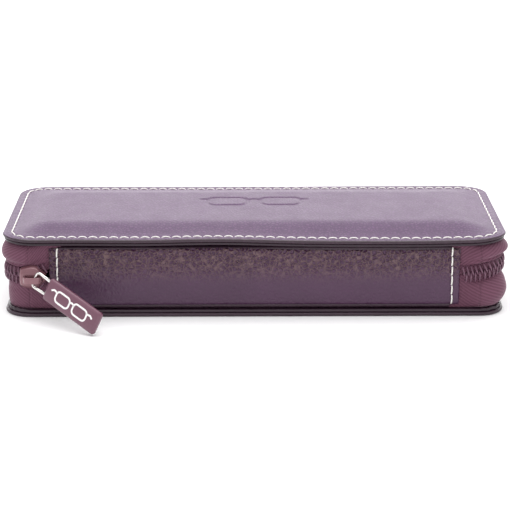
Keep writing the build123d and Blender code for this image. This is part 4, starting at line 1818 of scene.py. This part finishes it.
@dataclass
class Leaf:
    """The padded divider leaf: two velvet pads, a leather binding and a cloth hinge."""

    finish: Finishes
    corner: float = 7.0 * MM
    pad_corner: float = 6.6 * MM
    binding_width: float = 2.4 * MM
    skin: float = 0.45 * MM
    seam_inset: float = 1.7 * MM
    seam_pitch: float = 3.2 * MM

    def binding(self) -> Piece:
        """Makes the leather folded round the leaf's edge."""
        low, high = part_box("divider_binding")
        path = RoundedPath.within(low, high, self.corner)
        middle, half = (low.z + high.z) / 2, (high.z - low.z) / 2
        outer = [(self.binding_width, half * 0.98), (1.5 * MM, half), (1.0 * MM, half)]
        inner = [(self.binding_width, half * 0.98 - self.skin), (1.6 * MM, half - self.skin)]
        for step in range(9):
            angle = math.pi * (0.5 - step / 8)
            outer.append((1.0 * MM - 1.0 * MM * math.cos(angle), half * math.sin(angle)))
            inner.append((1.3 * MM - 0.8 * MM * math.cos(angle), (half - self.skin) * math.sin(angle)))
        outer.extend([(1.0 * MM, -half), (self.binding_width, -half * 0.98)])
        inner.extend([(1.6 * MM, -half + self.skin), (self.binding_width, -half * 0.98 + self.skin)])
        rings = [path.loop(520, inset, middle + rise) for inset, rise in outer + inner[::-1]]
        return loft("leaf_binding", rings, self.finish.facing, wrap=True)

    def stitches(self, row: BeadRow, level: str) -> Piece:
        """Sews the binding down on one side of the leaf."""
        low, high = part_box("divider_binding")
        height = high.z if level == "upper" else low.z
        bead = Bead.stitch(
            half=1.25 * MM, lean=0.08 * MM, sink=0.2 * MM, shoulder=0.6 * MM, rise=0.35 * MM,
            radius=0.26 * MM, taper=0.35,
        )
        return row.sew_round(
            f"leaf_stitches_{level}", RoundedPath.within(low, high, self.corner).drawn_in(self.seam_inset),
            self.seam_pitch, lambda points: np.full(len(points), height), bead, self.finish.thread,
            samples=400,
        )

    def hinge(self) -> Piece:
        """Makes the strip of cloth that joins the leaf to the spine."""
        low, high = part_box("divider_hinge_tab")
        reach = np.linspace(low.y - 0.2 * MM, high.y + 0.6 * MM, 9)
        path = np.column_stack([np.zeros(9), reach, np.full(9, (low.z + high.z) / 2)])
        section = rounded_section(high.x - low.x, (high.z - low.z) * 0.8, 0.25 * MM, 3)
        return sweep("leaf_hinge_cloth", path, section, Vector((1, 0, 0)), self.finish.facing)

    def build(self, rows: dict[Facing, BeadRow]) -> None:
        """Makes every piece of the leaf and rides it."""
        for level, up in (("upper", 1.0), ("lower", -1.0)):
            cushion = pad(
                f"leaf_pad_{level}", f"divider_pad_{level}", self.finish.velvet, up, crown=0.35 * MM,
                corner=self.pad_corner,
            )
            settle(cushion, "divider", "lining", f"divider_pad_{level}")
            row = rows[Facing.UP if up > 0 else Facing.DOWN]
            settle(self.stitches(row, level), "divider", "cream_thread")
        settle(self.binding(), "divider", "facing_leather", "divider_binding")
        low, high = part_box("divider_hinge_tab")
        middle = (low.z + high.z) / 2
        bridge(
            self.hinge(), ("spine", "divider"), Vector((0, low.y, middle)), Vector((0, high.y, middle)),
            "facing_leather", "divider_hinge_tab",
        )


# ---------------- slider and pull


@dataclass
class Slider:
    """The zip slider: a domed plate with turned lips, its inner plate, and the arch over the pull."""

    shape: Shape
    finish: Finishes
    columns: int = 27
    rows: int = 34
    plate_thick: float = 1.0 * MM
    dome: float = 0.35 * MM
    lip: float = 1.9 * MM
    rim: float = 0.7 * MM
    inner_height: float = 8.2 * MM
    arch_thick: float = 0.95 * MM
    arch_width: float = 2.5 * MM

    def plate(self) -> Piece:
        """Makes the domed outer plate with its lips, narrowed where the two halves of the zip meet."""
        low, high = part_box("slider_body")
        middle = self.shape.middle
        length, tall = high.x - low.x, (high.z - low.z) / 2
        across = np.linspace(-1, 1, self.columns)
        lips = np.abs(across) ** 5 * self.lip + across**2 * 0.25 * MM
        rings = []
        for share in np.linspace(0.0, 1.0, self.rows):
            row = np.full(self.columns, low.x + length * share)
            half = tall * (0.80 + 0.22 * math.sin(math.pi * min(share * 1.12, 1.0)) ** 1.2)
            half -= tall * 0.36 * float(smooth(0.62, 1.0, share))
            past_rim = max(0.0, 1 - min(share, 1 - share) * length / self.rim)
            round_in = self.rim * (1 - math.sqrt(max(0.0, 1 - past_rim**2)))
            dome = self.dome * math.sin(math.pi * share) * (1 - across**2)
            front = self.outer_face() - dome + lips + round_in
            back = np.minimum(front + self.plate_thick, self.shape.wall_front - 0.1 * MM)
            reach = half - round_in
            face = np.column_stack([row, front, middle + across * reach])
            inner = np.column_stack([row, back, middle + across * (reach - 0.75 * MM)])[::-1]
            rings.append(np.concatenate([face, inner]))
        return loft("slider_plate", rings, self.finish.slider, caps=True)

    def outer_face(self) -> float:
        """The place of the outer plate's face along Y, where the arch stands on it."""
        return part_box("slider_bridge")[1].y

    def bar(
        self, name: str, start: tuple[float, float], end: tuple[float, float], height: float, thick: float,
        radius: float,
    ) -> Piece:
        """Makes a straight bar in the level of the chain.

        Args:
            name: The piece's name.
            start: Where it starts in plan.
            end: Where it ends in plan.
            height: Its height along Z.
            thick: Its thickness.
            radius: The radius of its long edges.

        Returns:
            The finished bar.
        """
        line = np.array([(*start, self.shape.middle), (*end, self.shape.middle)])
        section = rounded_section(height, thick, radius, 4)
        return sweep(name, line, section, Vector((0, 0, 1)), self.finish.slider)

    def inner_plate(self) -> Piece:
        """Makes the plate that runs on the inside of the chain."""
        low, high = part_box("slider_body")
        depth = high.y - self.plate_thick / 2
        start, end = (low.x + 2.6 * MM, depth), (high.x - 0.2 * MM, depth)
        return self.bar("slider_inner_plate", start, end, self.inner_height, self.plate_thick, 0.4 * MM)

    def post(self) -> Piece:
        """Makes the post between the plates, at the mouth of the slider."""
        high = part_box("slider_body")[1]
        x = high.x - 1.6 * MM
        start, end = (x, self.outer_face() + 0.4 * MM), (x, high.y - 0.6 * MM)
        return self.bar("slider_post", start, end, 2.4 * MM, 1.8 * MM, 0.6 * MM)

    def arch(self) -> Piece:
        """Makes the arch that the pull hangs from."""
        low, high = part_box("slider_bridge")
        middle, half = self.shape.middle, self.arch_thick / 2
        out, base, slope = low.y + half, high.y + 0.5 * MM, 0.35 * MM
        line = arc_corners([
            (low.x + half, base, middle), (low.x + half + slope, out, middle),
            (high.x - half - slope, out, middle), (high.x - half, base, middle),
        ], 1.5 * MM, 7)
        section = rounded_section(self.arch_width, self.arch_thick, 0.36 * MM, 4)
        return sweep("slider_arch", line, section, Vector((0, 0, 1)), self.finish.slider)

    def build(self) -> None:
        """Makes every piece of the slider and rides it."""
        settle(self.plate(), "slider", "slider_metal", "slider_body")
        settle(self.inner_plate(), "slider", "slider_metal", "slider_body")
        settle(self.post(), "slider", "slider_metal", "slider_body")
        settle(self.arch(), "slider", "slider_metal", "slider_bridge")
        dress("slider_lock_spring", self.finish.steel)


@dataclass
class Pull:
    """The pull: a bright wire loop and a lacquered tag with a printed pair of glasses."""

    finish: Finishes
    wire: float = 1.2 * MM
    loop_width: float = 6.0 * MM
    tag_size: tuple[float, float, float] = (26.4 * MM, 9.0 * MM, 2.4 * MM)
    bevel: float = 0.95 * MM
    lens_half: tuple[float, float] = (3.35 * MM, 2.15 * MM)
    lens_corner: float = 1.55 * MM
    lens_centre: float = 4.35 * MM
    print_size: tuple[float, float] = (0.12 * MM, 0.72 * MM)

    def __post_init__(self) -> None:
        """Finds the pull's own directions from its joint and its tag."""
        joint = next(joint for joint in frame["joints"] if joint["name"] == "pull_swing")
        self.eye = Vector(joint["pos_m"])
        self.bar = Vector(joint["axis"]).normalized()
        low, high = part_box("pull_tag")
        reach = (low + high) / 2 - self.eye
        self.centre_reach = reach.length
        self.way = (reach - self.bar * reach.dot(self.bar)).normalized()
        self.front = self.way.cross(self.bar).normalized()

    def point(self, along: float, across: float, out: float = 0.0) -> Vector:
        """A place given along the pull, along its crossbar and out of its face."""
        return self.eye + self.way * along + self.bar * across + self.front * out

    def on_tag(self, places: Sequence[Sequence[float]], out: float) -> Array:
        """Points given along and across the tag from its middle, all at one height out of it."""
        return np.array([tuple(self.point(self.centre_reach + x, y, out)) for x, y in places])

    def loop(self) -> Piece:
        """Makes the bent wire."""
        half = self.loop_width / 2
        end = self.centre_reach - self.tag_size[0] / 2 + 2.0 * MM
        corners = (end, half * 0.86), (0, half), (0, -half), (end, -half * 0.86)
        line = arc_corners([self.point(*corner) for corner in corners], 1.25 * MM, 7)
        section = rounded_section(self.wire, self.wire, self.wire * 0.49, 4)
        return sweep("pull_wire", line, section, self.front, self.finish.steel)

    def tag(self) -> Piece:
        """Makes the tag, bevelled wide on its face."""
        length, width, thick = self.tag_size
        outline = rounded_section(length, width, 1.1 * MM, 5)
        inward = (self.bevel, self.bevel * 0.86, 0.16 * MM, 0.03 * MM, 0.0)
        down = (0.0, 0.05 * MM, 0.52 * MM, 0.66 * MM, 0.85 * MM)
        steps = [(inset, thick / 2 - drop) for inset, drop in zip(inward, down)]
        rings = []
        for inset, rise in [(inset, -rise) for inset, rise in steps] + steps[::-1]:
            factor = np.array([(length - 2 * inset) / length, (width - 2 * inset) / width])
            rings.append(self.on_tag(outline * factor, rise))
        piece = loft("pull_tag_plate", rings, self.finish.tag, caps=True)
        edges = piece.modifiers.new("edges", "BEVEL")
        edges.width, edges.segments, edges.limit_method = 0.08 * MM, 2, "ANGLE"
        edges.angle_limit = math.radians(25)
        return piece

    def emblem(self) -> Piece:
        """Prints a plain pair of glasses on the tag as thin raised lines."""
        out = self.tag_size[2] / 2 + 0.02 * MM
        half_x, half_y = self.lens_half
        section = rounded_section(*self.print_size, 0.05 * MM, 2)
        rim = rounded_section(2 * half_x, 2 * half_y, self.lens_corner, 8)
        lines: list[tuple[Array, bool]] = []
        for side in (-1, 1):
            lines.append((self.on_tag(rim + (side * self.lens_centre, 0.0), out), True))
            tip = side * (self.lens_centre + half_x)
            arm = [
                (tip - side * 0.2 * MM, 1.2 * MM), (tip + side * 1.6 * MM, 1.5 * MM),
                (tip + side * 2.7 * MM, 0.7 * MM),
            ]
            lines.append((arc_corners(self.on_tag(arm, out), 0.7 * MM, 5), False))
        nose = [
            (math.cos(angle) * 1.15 * MM, 0.35 * MM + math.sin(angle) * 0.9 * MM)
            for angle in np.linspace(math.pi * 0.06, math.pi * 0.94, 11)
        ]
        lines.append((self.on_tag(nose, out), False))
        parts = [
            sweep(f"emblem_line_{number}", line, section, self.front, self.finish.print, closed=closed)
            for number, (line, closed) in enumerate(lines)
        ]
        joined = bmesh.new()
        for part in parts:
            joined.from_mesh(part.data)
            bpy.data.objects.remove(part)
        mesh = bpy.data.meshes.new("pull_emblem")
        joined.to_mesh(mesh)
        joined.free()
        piece = new_object("pull_emblem", mesh)
        finish_mesh(piece, self.finish.print)
        return piece

    def build(self) -> None:
        """Makes every piece of the pull and rides it."""
        settle(self.loop(), "pull", "bright_steel", "pull_loop")
        settle(self.tag(), "pull", "tag_lacquer", "pull_tag")
        settle(self.emblem(), "pull", "emblem_white", "tag_emblem")


# ---------------- studio


@dataclass
class Studio:
    """The pale floor, the soft lights and the camera."""

    place: tuple[float, float, float] = (-5.14 * MM, -644.5 * MM, 221.0 * MM)
    pitch: float = 17.91
    yaw: float = 0.49
    lens: float = 120.6
    sky: float = 1.0
    floor_reach: float = 6.0

    def floor(self) -> None:
        """Lays the floor under the case."""
        mesh = bpy.data.meshes.new("studio_floor")
        reach = self.floor_reach
        corners = [(x * reach, y * reach, 0) for x, y in ((-1, -1), (1, -1), (1, 1), (-1, 1))]
        mesh.from_pydata(corners, [], [(0, 1, 2, 3)])
        floor = new_object("studio_floor", mesh)
        recipe = Recipe("studio_paper")
        tooth = recipe.noise(300.0, 2.0, 0.5)
        colour = recipe.blend(tooth, (0.93, 0.93, 0.94), (0.96, 0.96, 0.96))
        mesh.materials.append(recipe.set(Base_Color=colour, Roughness=0.9, Specular_IOR_Level=0.1))
        floor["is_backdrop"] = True

    def light(
        self, name: str, place: Sequence[float], aim: Sequence[float], size: tuple[float, float],
        power: float,
    ) -> None:
        """Hangs one soft light.

        Args:
            name: The light's name.
            place: Where its middle hangs.
            aim: The point that it looks at.
            size: Its width and height.
            power: Its power in watts.
        """
        data = bpy.data.lights.new(name, "AREA")
        data.shape, data.size, data.size_y, data.energy = "RECTANGLE", size[0], size[1], power
        lamp = bpy.data.objects.new(name, data)
        bpy.context.scene.collection.objects.link(lamp)
        lamp.location = place
        lamp.rotation_euler = (Vector(aim) - Vector(place)).to_track_quat("-Z", "Y").to_euler()
        lamp.visible_camera = False

    def build(self) -> None:
        """Sets up the floor, the lights, the white surroundings and the camera."""
        self.floor()
        self.light("overhead_softbox", (0.0, 0.15, 1.1), (0, 0, 0), (1.4, 0.9), 10.0)
        self.light("back_panel", (0.0, 1.5, 0.55), (0, 0, 0.02), (2.4, 0.8), 13.5)
        world = bpy.data.worlds.new("white_surroundings")
        world.use_nodes = True
        shade = world.node_tree.nodes["Background"]
        shade.inputs["Color"].default_value = (1.0, 1.0, 1.0, 1.0)
        shade.inputs["Strength"].default_value = self.sky
        bpy.context.scene.world = world
        data = bpy.data.cameras.new("camera")
        data.lens, data.sensor_width = self.lens, 36.0
        data.clip_start, data.clip_end = 0.01, 20.0
        camera = bpy.data.objects.new("camera", data)
        bpy.context.scene.collection.objects.link(camera)
        camera.location = self.place
        camera.rotation_euler = (math.radians(90 - self.pitch), 0.0, math.radians(-self.yaw))
        bpy.context.scene.camera = camera
        bpy.context.scene.view_settings.view_transform = "Standard"


def dress_hidden(finish: Finishes) -> None:
    """Gives the boards and foams that stay inside the covers their own finishes."""
    for name in frame["nodes"]:
        if name.endswith("board"):
            dress(name, finish.board)
        elif name.endswith("foam"):
            dress(name, finish.foam)


def main() -> None:
    """Builds the case round its frame, one sub-assembly after another."""
    logging.basicConfig(level=logging.INFO, format="%(name)s: %(message)s")
    shape, finish = Shape(), Finishes()
    rows = {facing: BeadRow(facing) for facing in Facing}
    Lid(shape, finish).build(rows)
    Base(shape, finish).build(rows)
    ZipWall(shape, finish).build(rows)
    Spine(shape, finish).build(rows)
    Leaf(finish).build(rows)
    Slider(shape, finish).build()
    Pull(finish).build()
    dress_hidden(finish)
    Studio().build()
    boxes = {"cad": CAD_BOX, "visual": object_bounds()}
    boxes = {name: [list(corner) for corner in box] for name, box in boxes.items()}


if __name__ == "__main__":
    main()
